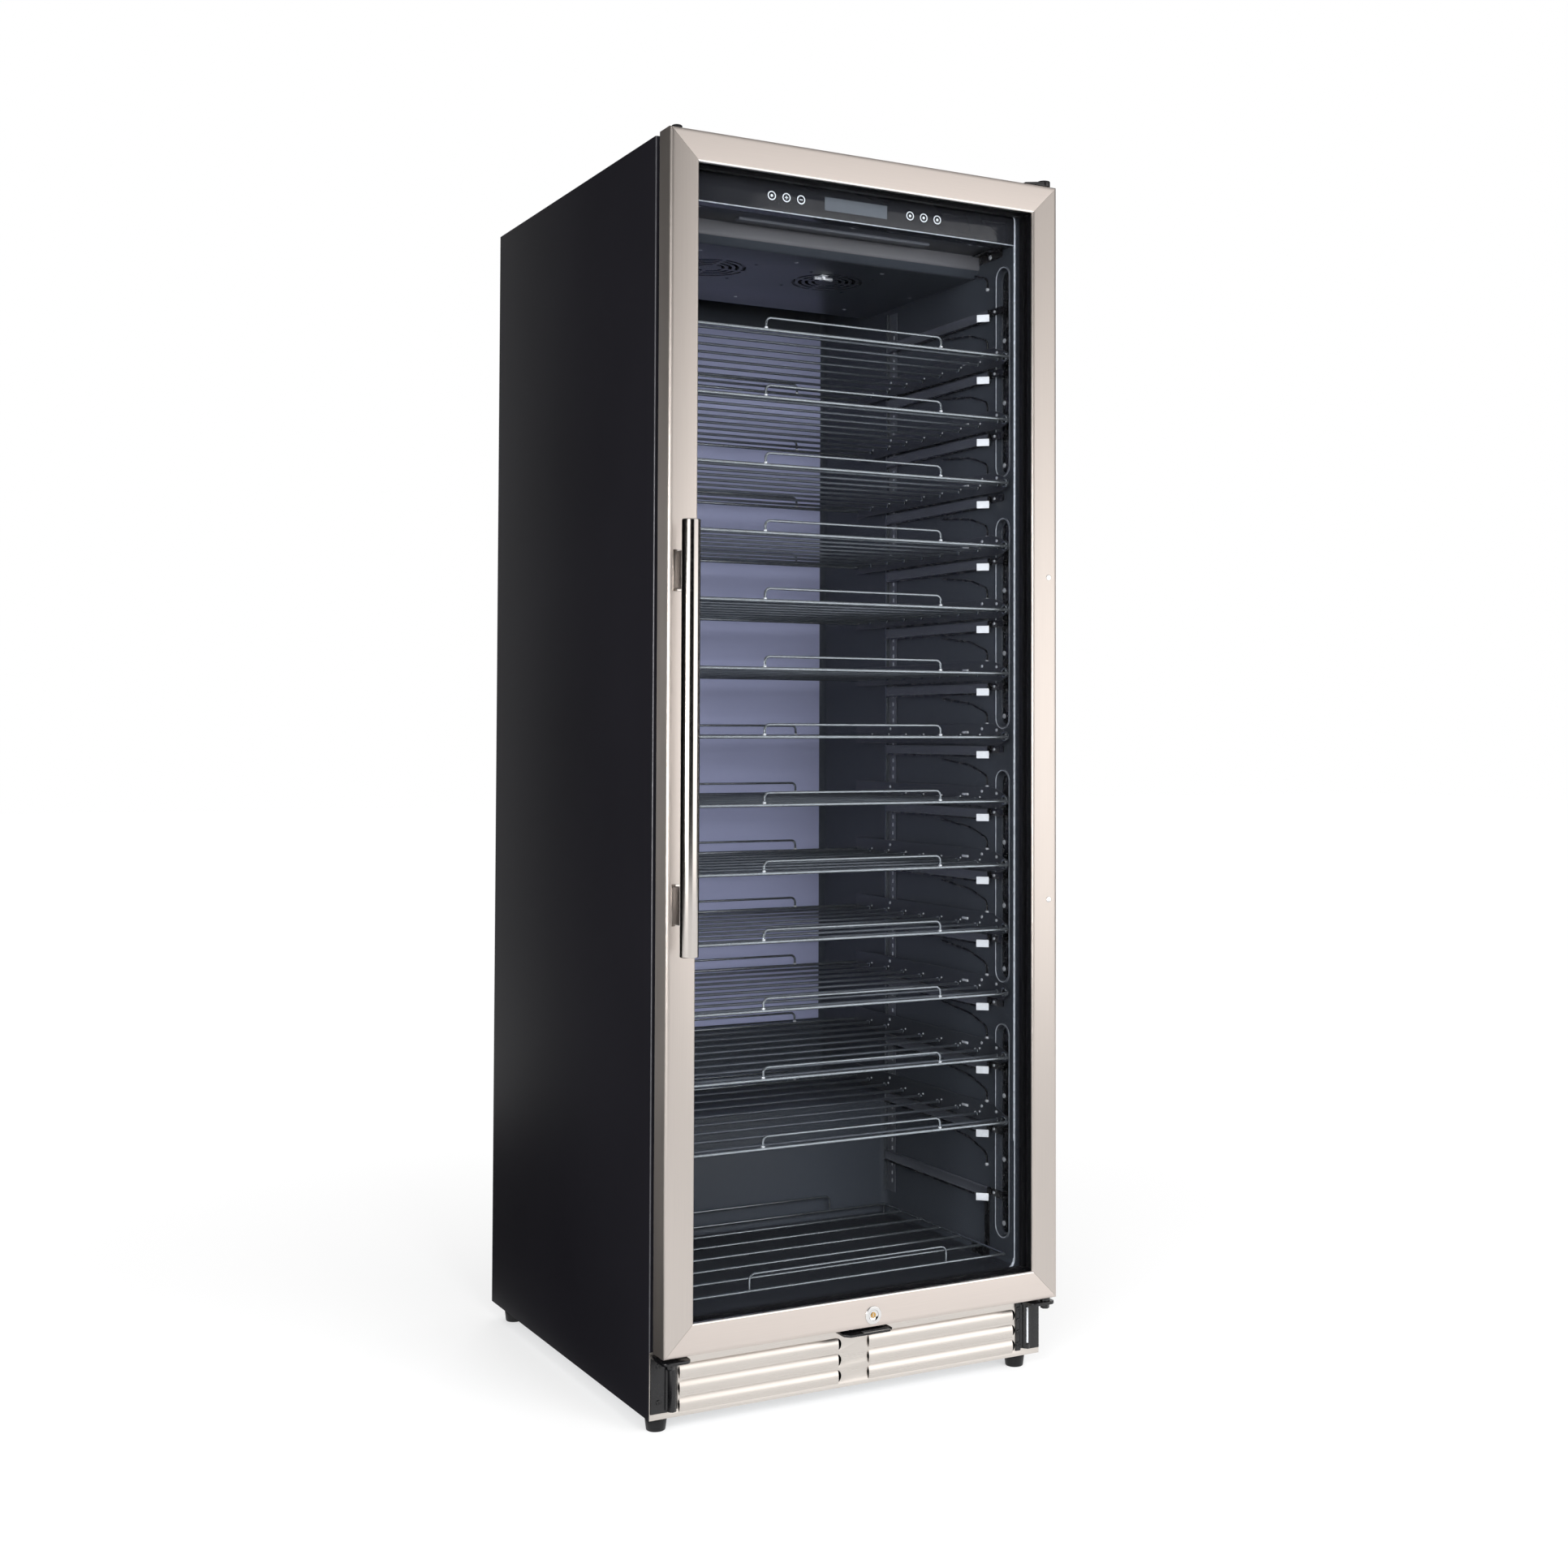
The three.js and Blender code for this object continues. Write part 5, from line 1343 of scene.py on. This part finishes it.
def frame_member(name, horizontal, first):
    """A mitred member of the door frame: rounded outside, a rolled lip round the glass and its groove."""
    width, height = (-HALF, HALF), (DOOR_LOW, DOOR_HIGH)
    across = height if horizontal else width  # the direction from its outside to the glass
    across = (across[0], across[0] + BAND) if first else (across[1] - BAND, across[1])
    inner, toward = (across[1], 1) if first else (across[0], -1)
    middle = 0 if horizontal else sum(height) / 2
    lengthwise, sideways = ("x", "z") if horizontal else ("z", "x")
    limits_x, limits_z = (width, across) if horizontal else (across, height)

    def from_inner(p):
        return abs(getattr(p, sideways) - inner)

    def in_groove(p, n):
        return getattr(n, sideways) * toward > 0.9 and GROOVE[0] < p.y < GROOVE[1]

    def front_line(p, d, fold):
        return fold > 1 and abs(getattr(d, lengthwise)) > 0.9 and p.y < DOOR_FRONT + 1

    piece = block(name, limits_x, (DOOR_FRONT, DOOR_BACK), limits_z)
    edit(piece)
    for reach, shift in ((1, BAND), (HALF + DOOR_HIGH, SEAM)):
        for end in (-1, 1):
            choose_points(
                piece, lambda p: from_inner(p) < reach and (getattr(p, lengthwise) - middle) * end > 0
            )
            move(**{lengthwise: -end * shift})
    leave()
    slice_at(piece, ("y", GROOVE[0]), ("y", GROOVE[1]))
    edit(piece)
    choose_faces(piece, in_groove)
    pull(**{sideways: -toward * 12})
    choose_edges(piece, lambda p, d, fold: front_line(p, d, fold) and from_inner(p) > 1)
    round_off(EDGE, 6)
    choose_edges(piece, lambda p, d, fold: front_line(p, d, fold) and from_inner(p) < 1)
    round_off(LIP, 4)
    leave()
    coat_with(piece, steel_across if horizontal else steel_upright)
    if horizontal:
        # Painted highlight on the rails' lip round the glass.
        trim(piece, lip_painted_highlight, lambda p, n: n.y < -0.02 and from_inner(p) < LIP and n.z * toward > 0.2)

    def hidden(p, n):
        inside = DOOR_LOW + 1 < p.z < DOOR_HIGH - 1 and abs(p.x) < HALF - 1
        return inside and p.y > DOOR_FRONT + 4.5 and n.y < 0.9

    trim(piece, plastic_black, hidden)
    return smooth(piece, 30)


rail_low = frame_member("rail_low", True, True)
carve(
    rail_low,
    bar("hole", "y", LOCK, 9.8, (DOOR_FRONT - 5, DOOR_FRONT + 20), 40),
    block("hole", (-3, 31), (DOOR_FRONT + 11.5, DOOR_FRONT + 17.5), (DOOR_LOW - 5, DOOR_LOW + 26)),
    bar("hole", "z", PIN, 4.3, (DOOR_LOW - 5, DOOR_LOW + 11), 24),
)
fit(smooth(rail_low, 30), "door", None, ["bottom_rail"])
rail_high = frame_member("rail_high", True, False)
carve(rail_high, bar("hole", "z", PIN, 4.3, (DOOR_HIGH - 11, DOOR_HIGH + 5), 24))
fit(smooth(rail_high, 30), "door", None, ["top_rail"])
fit(frame_member("stile_left", False, True), "door", None, ["left_stile"])
fit(frame_member("stile_right", False, False), "door", None, ["right_stile"])


def pane(name, y):
    low, high = limits("glass_unit")
    piece = block(name, (low.x, high.x), y, (low.z, high.z))
    return soften(piece, 0.5)


def glazing_spacer():
    """The black edge bar that holds the two panes apart."""
    low, high = limits("glass_unit")
    y = (low.y + 4.1, high.y - 4.1)
    piece = block("glazing_spacer", (low.x, high.x), y, (low.z, high.z))
    hollow = block("hollow", (low.x + 8, high.x - 8), (y[0] - 5, y[1] + 5), (low.z + 8, high.z - 8))
    carve(piece, hollow)
    return soften(piece, 0.4)


glass_low, glass_high = limits("glass_unit")
front_pane = pane("pane_front", (glass_low.y, glass_low.y + 4))
fit(front_pane, "door", glass_clear, ["glass_unit"])
fit(pane("pane_back", (glass_high.y - 4, glass_high.y)), "door", glass_clear)
fit(glazing_spacer(), "door", plastic_black)


def door_seal():
    """Soft magnetic seal with a bellows fold round its outside."""
    low, high = limits("door_gasket")
    piece = blank_of("door_seal", "door_gasket")
    hollow = block(
        "hollow", (low.x + 18, high.x - 18), (low.y - 5, high.y + 5), (low.z + 18, high.z - 18)
    )
    carve(piece, hollow)
    slice_at(piece, ("y", low.y + 3), ("y", low.y + 5.5), ("y", low.y + 8))
    edit(piece)
    choose_edges(
        piece,
        lambda p, d, fold: abs(p.y - low.y - 5.5) < 0.1
        and (abs(abs(p.x) - high.x) < 0.1 or abs(p.z - low.z) < 0.1 or abs(p.z - high.z) < 0.1),
    )
    size = high - low
    bpy.ops.transform.resize(
        value=(1 - 5 / size.x, 1, 1 - 5 / size.z), center_override=spot(*((low + high) / 2))
    )
    leave()
    return soften(piece, 0.5)


fit(door_seal(), "door", rubber_black, ["door_gasket"])


def door_handle():
    """Round bar with chamfered ends on two flat posts, each on a small foot plate."""
    low, high = limits("handle")
    x = (low.x + high.x) / 2
    y = low.y + 12
    grip = bar("grip", "z", (x, y), 12, (low.z, high.z), 64)
    edit(grip)
    choose_edges(grip, lambda p, d, fold: fold > 1)
    round_off(1.4, 4)
    choose_faces(grip, lambda p, n: abs(n.z) > 0.99)
    inset(2, each=True)
    inset(0.4, -0.5, True)
    leave()
    parts = [coat_with(smooth(grip, 30), steel_bar)]
    middle = (low.z + high.z) / 2
    for end in (-1, 1):
        z = middle + end * 211
        post = block("post", (x - 5, x + 5), (y, high.y), (z - 24, z + 24))
        edit(post)
        choose_edges(post, lambda p, d, fold: fold > 1 and abs(d.y) > 0.9)
        round_off(1.6, 3)
        choose_faces(post, lambda p, n: n.y > 0.9)
        inset(0.01)
        leave()
        # The posts take the darkened steel, as painted shade.
        parts.append(coat_with(smooth(post), painted_shade_post))
        plate = block("plate", (x - 7.2, x + 7.2), (high.y - 1.6, high.y), (z - 26.5, z + 26.5))
        parts.append(coat_with(soften(plate, 0.6), steel_bar))
    return weld("door_handle", *parts)


fit(door_handle(), "door", None, ["handle"])


def lock_ring():
    """Bright collar of the lock with a dished face."""
    front = DOOR_FRONT - 1.5
    ring = bar("ring", "y", LOCK, 12, (front, DOOR_FRONT + 0.2), 64)
    round_edges(ring, 1.1, 4, lambda p, d, fold: fold > 1 and p.y < front + 0.5)
    tube = bar("tube", "y", LOCK, 9.4, (DOOR_FRONT - 0.4, DOOR_FRONT + 10.5), 48)
    piece = weld("lock_ring", ring, tube)
    carve(piece, bar("bore", "y", LOCK, 7.3, (front - 5, DOOR_BACK), 48))
    return smooth(piece, 30)


def lock_core():
    """Barrel with its keyhole, and the cam behind it."""
    x, z = LOCK
    front = DOOR_FRONT - 1.2
    barrel = bar("barrel", "y", (x, z), 7, (front, DOOR_FRONT + 16.5), 48)
    edit(barrel)
    choose_faces(barrel, lambda p, n: n.y < -0.9)
    inset(1.4, -0.8)
    leave()
    coat_with(smooth(barrel, 30), chrome)
    core = bar("core", "y", (x, z), 3.6, (front + 0.3, front + 3), 32)
    carve(core, block("keyhole", (x - 0.7, x + 0.7), (front - 2, front + 5), (z - 2.6, z + 2.6)))
    coat_with(soften(core, 0.2), brass)
    cam = block("cam", (x, x + 28), (DOOR_FRONT + 12.5, DOOR_FRONT + 16.5), (z - 4.5, z + 4.5))
    round_edges(cam, 3, 4, lambda p, d, fold: abs(d.y) > 0.9 and p.x > x + 10)
    coat_with(soften(cam, 0.3), bolt_steel)
    return weld("lock_core", barrel, core, cam)


fit(lock_ring(), "door", chrome, ["lock_body"])
fit(lock_core(), "lock", None, ["lock_barrel"])


def frame_plugs():
    """Small bright plugs in the right stile."""
    plugs = []
    for z in (640, 1090):
        plug = bar("plug", "y", (283, z), 4, (DOOR_FRONT - 0.8, DOOR_FRONT + 0.6), 28)
        round_edges(plug, 0.7, 3, lambda p, d, fold: fold > 1 and p.y < DOOR_FRONT - 0.3)
        plugs.append(smooth(plug))
    return weld("frame_plugs", *plugs)


def top_plug():
    """Cap in the spare hinge hole at the top left."""
    cap = bar("top_plug", "z", (-PIN[0], PIN[1]), 7, (DOOR_HIGH - 0.5, DOOR_HIGH + 4.2), 32)
    round_edges(cap, 1.8, 4, lambda p, d, fold: fold > 1 and p.z > DOOR_HIGH + 2)
    return smooth(cap)


fit(frame_plugs(), "door", chrome)
fit(top_plug(), "door", plastic_black)

# ---- below the door


def louvre_blade(ends, low):
    """A bowed blade that leaves the plate at its top edge, stands out and turns in again at its foot."""
    deselect()
    bpy.ops.mesh.primitive_plane_add(size=1, location=spot(sum(ends) / 2, 1.0, low + 17.6))
    blade = bpy.context.object
    blade.scale = ((ends[1] - ends[0]) * MM, 1.6 * MM, 1)
    settle(blade)
    edit(blade)
    choose_edges(blade, lambda p, d, fold: abs(d.x) > 0.9 and p.y < 0.5)
    bpy.ops.mesh.spin(
        steps=12,
        angle=math.radians(-56),
        center=spot(0, 16.6, low + 6.6),
        axis=(1, 0, 0),
        use_auto_merge=False,
    )
    choose_edges(blade, lambda p, d, fold: abs(d.x) > 0.9 and p.z < low + 3 and fold < 0)
    pull_edges(y=2.2, z=-0.3)
    leave()
    modify(blade, "SOLIDIFY", thickness=0.7 * MM, offset=0)
    return smooth(blade)


def grille_plate():
    """Stainless kick grille with two columns of pressed louvres."""
    low, high = limits("kick_grille")
    piece = block("grille_plate", (low.x, high.x), (-1.2, 0), (low.z, high.z))
    tools, blades = [], []
    for side in (-1, 1):
        ends = sorted((side * 20, side * (HALF - 40)))
        for row in range(3):
            z = 15.5 + 21 * row
            tools.append(stadium("slot", "y", ends, z, 8.6, (-5, 5), 30))
            blades.append(louvre_blade((ends[0] + 1.5, ends[1] - 5), z - 8.8))
    carve(piece, *tools)
    soften(piece, 0.4, 2, 60)
    return smooth(weld("grille_plate", piece, *blades), 30)


def strike():
    """Black plate under the door with chamfered corners and the slot for the lock's cam."""
    low, high = limits("strike_plate")
    level = (low.z, low.z + 3)
    piece = block("strike", (low.x, high.x), (low.y, -1.3), level)
    round_edges(piece, 7, 1, lambda p, d, fold: abs(d.z) > 0.9 and p.y < low.y + 1)
    carve(piece, block("slot", (-6, 38), (-38.5, -29.5), (level[0] - 5, level[1] + 5)))
    web = block("web", (low.x, high.x), (-2.6, -1.2), (low.z, high.z))
    return soften(weld("strike", piece, web), 0.4)


fit(grille_plate(), "cabinet", steel_pressed, ["kick_grille"])
fit(strike(), "cabinet", coated_black, ["strike_plate"])

ARM_TOP = DOOR_LOW - 5


def bracket_arm(side):
    """The arm of a lower bracket and the nut under it."""
    arm = block("arm", (side * (HALF - 40), side * (HALF - 1)), (-45, -1.2), (ARM_TOP - 4, ARM_TOP))
    round_edges(arm, 8, 5, lambda p, d, fold: abs(d.z) > 0.9 and p.y < -40)
    return arm, bar("nut", "z", (side * PIN[0], PIN[1]), 6.5, (ARM_TOP - 10, ARM_TOP - 4), 6)


def hinge_left():
    """Spare bracket of the left side: flanged plate, rolled rib and a stub arm with its bolt."""
    outer = -(HALF - 1)
    plate = block("plate", (outer, outer + 24), (-3.2, -1.2), (8, ARM_TOP))
    cylinder = bar("rib", "z", (outer + 29, -4.4), 6, (9, ARM_TOP - 4), 28)
    web = block("web", (outer + 20, outer + 37), (-4.6, -1.3), (11, ARM_TOP - 4))
    parts = [soften(p, 0.6) for p in (plate, cylinder, web, *bracket_arm(-1))]
    parts = [coat_with(p, coated_black) for p in parts]
    parts += [screw_at(outer + 11, -3.6, z, "-y", screw_dark) for z in (22, 68)]
    return weld("hinge_left", *parts)


def hinge_right():
    """Working bracket: bolted flange, hollow rib with its rod, plate, arm, collar and pin."""
    outer = HALF - 1
    plate = block("plate", (outer - 20, outer), (-3.2, -1.2), (8, ARM_TOP))
    flange = block("flange", (outer - 39, outer - 31), (-3.6, -1.2), (8, ARM_TOP))
    rib = bar("rib", "z", (outer - 23, -3.4), 6, (11, ARM_TOP - 4), 28)
    carve(rib, stadium("slot", "x", (17, 70), -9.4, 1.9, (outer - 30, outer - 16), 20))
    rod = bar("rod", "z", (outer - 23, -8.2), 1.5, (19, 68), 16)
    web = block("web", (outer - 33, outer - 14), (-4.4, -1.3), (11, ARM_TOP - 4))
    cap = block("cap", (outer - 31, outer - 12), (-8, -1.2), (ARM_TOP - 11, ARM_TOP - 4))
    collar = bar("collar", "z", PIN, 7, (ARM_TOP, DOOR_LOW - 0.3), 32)
    pin = bar("pin", "z", PIN, 4, (ARM_TOP, DOOR_LOW + 8), 28)
    sturdy = (plate, flange, rib, web, cap, *bracket_arm(1), collar)
    parts = [soften(p, 0.6, 3) for p in sturdy] + [smooth(pin)]
    parts = [coat_with(p, coated_black) for p in parts] + [coat_with(smooth(rod), bolt_steel)]
    parts += [screw_at(outer - 35, -4, z, "-y", screw_dark) for z in (17, 34, 50, 66)]
    return weld("hinge_right", *parts)


def hinge_top():
    """Arm over the door with its bearing boss, bolted to the cabinet's top."""
    outer = HALF - 5
    under = DOOR_HIGH + 0.5
    plate = block("plate", (outer - 30, outer), (6, 70), (HEIGHT, under + 3))
    arm = block("arm", (outer - 30, outer), (-36, 70), (under, under + 3))
    slice_at(arm, ("y", -10))
    edit(arm)
    choose_points(arm, lambda p: p.y < -30)
    bpy.ops.transform.resize(value=(18 / 30, 1, 1), center_override=spot(*PIN, under))
    leave()
    wing = block("wing", (246, 284), (-44, -28), (under, under + 7))
    edit(wing)
    choose_points(wing, lambda p: p.x < 250 and p.z > under + 1)
    move(z=-5.6)
    leave()
    boss = bar("boss", "z", (282, -36), 9, (under, under + 8), 36)
    pin = bar("pin", "z", PIN, 4, (DOOR_HIGH - 8, under + 1), 28)
    parts = [soften(p, 0.6) for p in (plate, arm, wing)] + [soften(boss, 1.2, 3), smooth(pin)]
    parts = [coat_with(p, coated_black) for p in parts]
    parts += [screw_at(outer - 15, y, under + 3.4, "+z") for y in (20, 40, 60)]
    return weld("hinge_top", *parts)


fit(hinge_left(), "cabinet", None, ["lower_hinge_left"])
fit(hinge_right(), "cabinet", None, ["lower_hinge_right"])
fit(hinge_top(), "cabinet", None, ["top_hinge"])

# ---- carried over

CARRIED = {
    "base_plate": galvanised,
    "rear_cover": galvanised,
    "foam_insulation": foam_yellow,
    "fan_mount": plastic_black,
    "evaporator_fan_left": plastic_black,
    "evaporator_fan_right": plastic_black,
    "evaporator": aluminium,
    "compressor": paint_black,
    "condenser": aluminium,
    "condenser_fan": plastic_black,
}
for node_name, material in CARRIED.items():
    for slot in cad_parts[node_name].material_slots:
        slot.material = material

for spare in (screw, screw_dark):
    bpy.data.objects.remove(spare)

# ---- stage


NEAR, FAR = 0.5, 1.7  # metres from the middle between which the floor turns white
RAMP_TOP = 4.0  # height in metres where a card's ramp ends


def node(tree, kind, operation="", **inputs):
    """A new node with some of its inputs set."""
    made = tree.nodes.new("ShaderNode" + kind)
    if operation:
        made.operation = operation
    for name, value in inputs.items():
        made.inputs[name.replace("_", " ")].default_value = value
    return made


def bare_material(name):
    """A material with nothing but its output."""
    material = bpy.data.materials.new(name)
    material.use_nodes = True
    tree = material.node_tree
    tree.nodes.remove(tree.nodes["Principled BSDF"])
    return material, tree


def seen_rays(tree):
    """One for the rays that show a surface to the eye, nought for those that only light."""
    path = node(tree, "LightPath")
    seen = path.outputs["Is Camera Ray"]
    for kind in ("Is Glossy Ray", "Is Transmission Ray"):
        either = node(tree, "Math", "MAXIMUM")
        tree.links.new(seen, either.inputs[0])
        tree.links.new(path.outputs[kind], either.inputs[1])
        seen = either.outputs[0]
    return seen


def pale_floor():
    """A floor that catches the shadows near the part and glows white farther off."""
    deselect()
    bpy.ops.mesh.primitive_plane_add(size=40, location=(0, 0, frame_low.z))
    floor = bpy.context.object
    floor.name = "floor"
    settle(floor)
    material, tree = bare_material("floor_white")
    link = tree.links.new
    dull = node(tree, "BsdfDiffuse", Color=(0.5, 0.5, 0.5, 1))
    light_node = node(tree, "Emission")
    reach = node(tree, "VectorMath", "LENGTH")
    fade = node(tree, "MapRange", From_Min=NEAR, From_Max=FAR, To_Min=0.5, To_Max=1.0)
    thin = node(tree, "MapRange", From_Min=NEAR, From_Max=FAR, To_Min=0.5, To_Max=0.02)
    power = node(tree, "Math", "MULTIPLY")
    total = node(tree, "AddShader")
    link(node(tree, "TexCoord").outputs["Object"], reach.inputs[0])
    for scale in (fade, thin):
        link(reach.outputs["Value"], scale.inputs["Value"])
    link(thin.outputs["Result"], dull.inputs["Color"])
    link(seen_rays(tree), power.inputs[0])
    link(fade.outputs["Result"], power.inputs[1])
    link(power.outputs[0], light_node.inputs["Strength"])
    link(dull.outputs[0], total.inputs[0])
    link(light_node.outputs[0], total.inputs[1])
    link(total.outputs[0], tree.nodes["Material Output"].inputs["Surface"])
    coat_with(floor, material)


def studio_world():
    """White surroundings that light the part less than they show."""
    world = bpy.data.worlds.new("studio")
    bpy.context.scene.world = world
    world.use_nodes = True
    tree = world.node_tree
    background = tree.nodes["Background"]
    background.inputs["Color"].default_value = (1, 1, 1, 1)
    power = node(tree, "MapRange", To_Min=0.4, To_Max=1.0)
    tree.links.new(seen_rays(tree), power.inputs["Value"])
    tree.links.new(power.outputs["Result"], background.inputs["Strength"])


def shade_by_height(tree, strength, ramp):
    """Lets a card's light follow the ramp's stops, each a height in metres and a share of the strength."""
    parts = node(tree, "SeparateXYZ")
    scale = node(tree, "MapRange", From_Max=RAMP_TOP)
    shade = node(tree, "ValToRGB")
    shade.color_ramp.interpolation = "B_SPLINE"
    stops = shade.color_ramp.elements
    while len(stops) < len(ramp):
        stops.new(0.5)
    for stop, (height, value) in zip(stops, ramp):
        stop.position = height / RAMP_TOP
        stop.color = (value, value, value, 1)
    power = node(tree, "Math", "MULTIPLY")
    power.inputs[1].default_value = strength
    tree.links.new(node(tree, "TexCoord").outputs["Object"], parts.inputs[0])
    tree.links.new(parts.outputs["Z"], scale.inputs["Value"])
    tree.links.new(scale.outputs["Result"], shade.inputs["Fac"])
    tree.links.new(shade.outputs["Color"], power.inputs[0])
    tree.links.new(power.outputs[0], tree.nodes["Emission"].inputs["Strength"])


def card(name, place, turn, size, strength, ramp=()):
    """A card round the set that only shows in polished surfaces. Without strength it is a dark one."""
    deselect()
    bpy.ops.mesh.primitive_plane_add(size=1, location=place, rotation=[math.radians(a) for a in turn])
    piece = bpy.context.object
    piece.name = name
    piece.scale = (size[0], size[1], 1)
    settle(piece)
    material, tree = bare_material(name + "_tone")
    shader = node(tree, "Emission", Color=(1, 0.98, 0.965, 1), Strength=strength)
    tree.links.new(shader.outputs[0], tree.nodes["Material Output"].inputs["Surface"])
    if ramp:
        shade_by_height(tree, strength, ramp)
    coat_with(piece, material)
    for kind in ("camera", "diffuse", "shadow", "transmission"):
        setattr(piece, "visible_" + kind, False)


def soft_lamp(name, place, target, size, power, seen=False, tint=(1, 1, 1)):
    deselect()
    bpy.ops.object.light_add(type="AREA", location=place)
    light_object = bpy.context.object
    light_object.name = name
    light_object.data.shape = "RECTANGLE"
    light_object.data.size, light_object.data.size_y = size
    light_object.data.energy = power
    light_object.data.color = tint
    light_object.visible_glossy = seen
    aim = Vector(target) - Vector(place)
    light_object.rotation_euler = aim.to_track_quat("-Z", "Y").to_euler()


pale_floor()
studio_world()
card("card_left", (-2.3, 1.2, 1.3), (90, 0, 64), (6.4, 4.4), 0.0)
card("card_over", (0, 1.7, 3.6), (0, 0, 0), (6, 5.6), 0.0)
card("card_camera", (-1.1, -3.75, 1.4), (90, 0, -13), (3.5, 6), 0.0)
card("card_right", (4.0, 1.0, 1.4), (90, 0, 90), (5.5, 6), 0.0)
card("card_low", (-0.75, 0.95, 0.4), (90, 0, 90), (2.1, 0.9), 0.0)
card("card_mat", (-0.77, 0.75, 0.004), (0, 0, 0), (0.92, 2.3), 0.0)
card("card_soft", (-2.7, -2.25, 1.1), (90, 0, -50), (1.7, 2.4), 2.4)
card("card_side", (-3.3, -0.55, 0.98), (90, 0, -80), (2.0, 1.3), 2.6)
bell = [(0.0, 0.7), (0.45, 0.86), (0.9, 1.0), (1.35, 0.92), (1.9, 0.65), (2.5, 0.42), (3.6, 0.3)]
card("card_front", (2.35, -3.1, 1.95), (90, 0, 30), (3.6, 4.0), 2.5, bell)
soft_lamp("lamp_front", (0.2, -3.6, 1.7), (0, 0, 0.9), (2.4, 1.8), 150)
soft_lamp("lamp_left", (-2.4, -3.0, 1.7), (0, 0, 0.9), (1.6, 2.0), 80)
soft_lamp("lamp_right", (3.2, -1.6, 1.8), (0, 0, 0.9), (1.6, 2.0), 20)
soft_lamp("lamp_back", (0.8, 3.4, 2.6), (0, 0, 0.9), (2.4, 1.6), 50)
soft_lamp("lamp_edge", (-2.75, -1.3, 1.0), (0, 0, 0.95), (0.3, 1.1), 30, True)

camera = bpy.data.objects.new("camera", bpy.data.cameras.new("camera"))
bpy.context.scene.collection.objects.link(camera)
camera.location = (-1.3112, -2.5985, 0.8950)
camera.rotation_euler = (math.pi / 2 + 0.0294, -0.003, -0.5019)
camera.data.lens = 45.644
camera.data.sensor_width = 36
camera.data.shift_x = -0.0354
camera.data.shift_y = -0.0706
camera.data.clip_end = 60
bpy.context.scene.camera = camera
bpy.context.scene.view_settings.view_transform = "Standard"
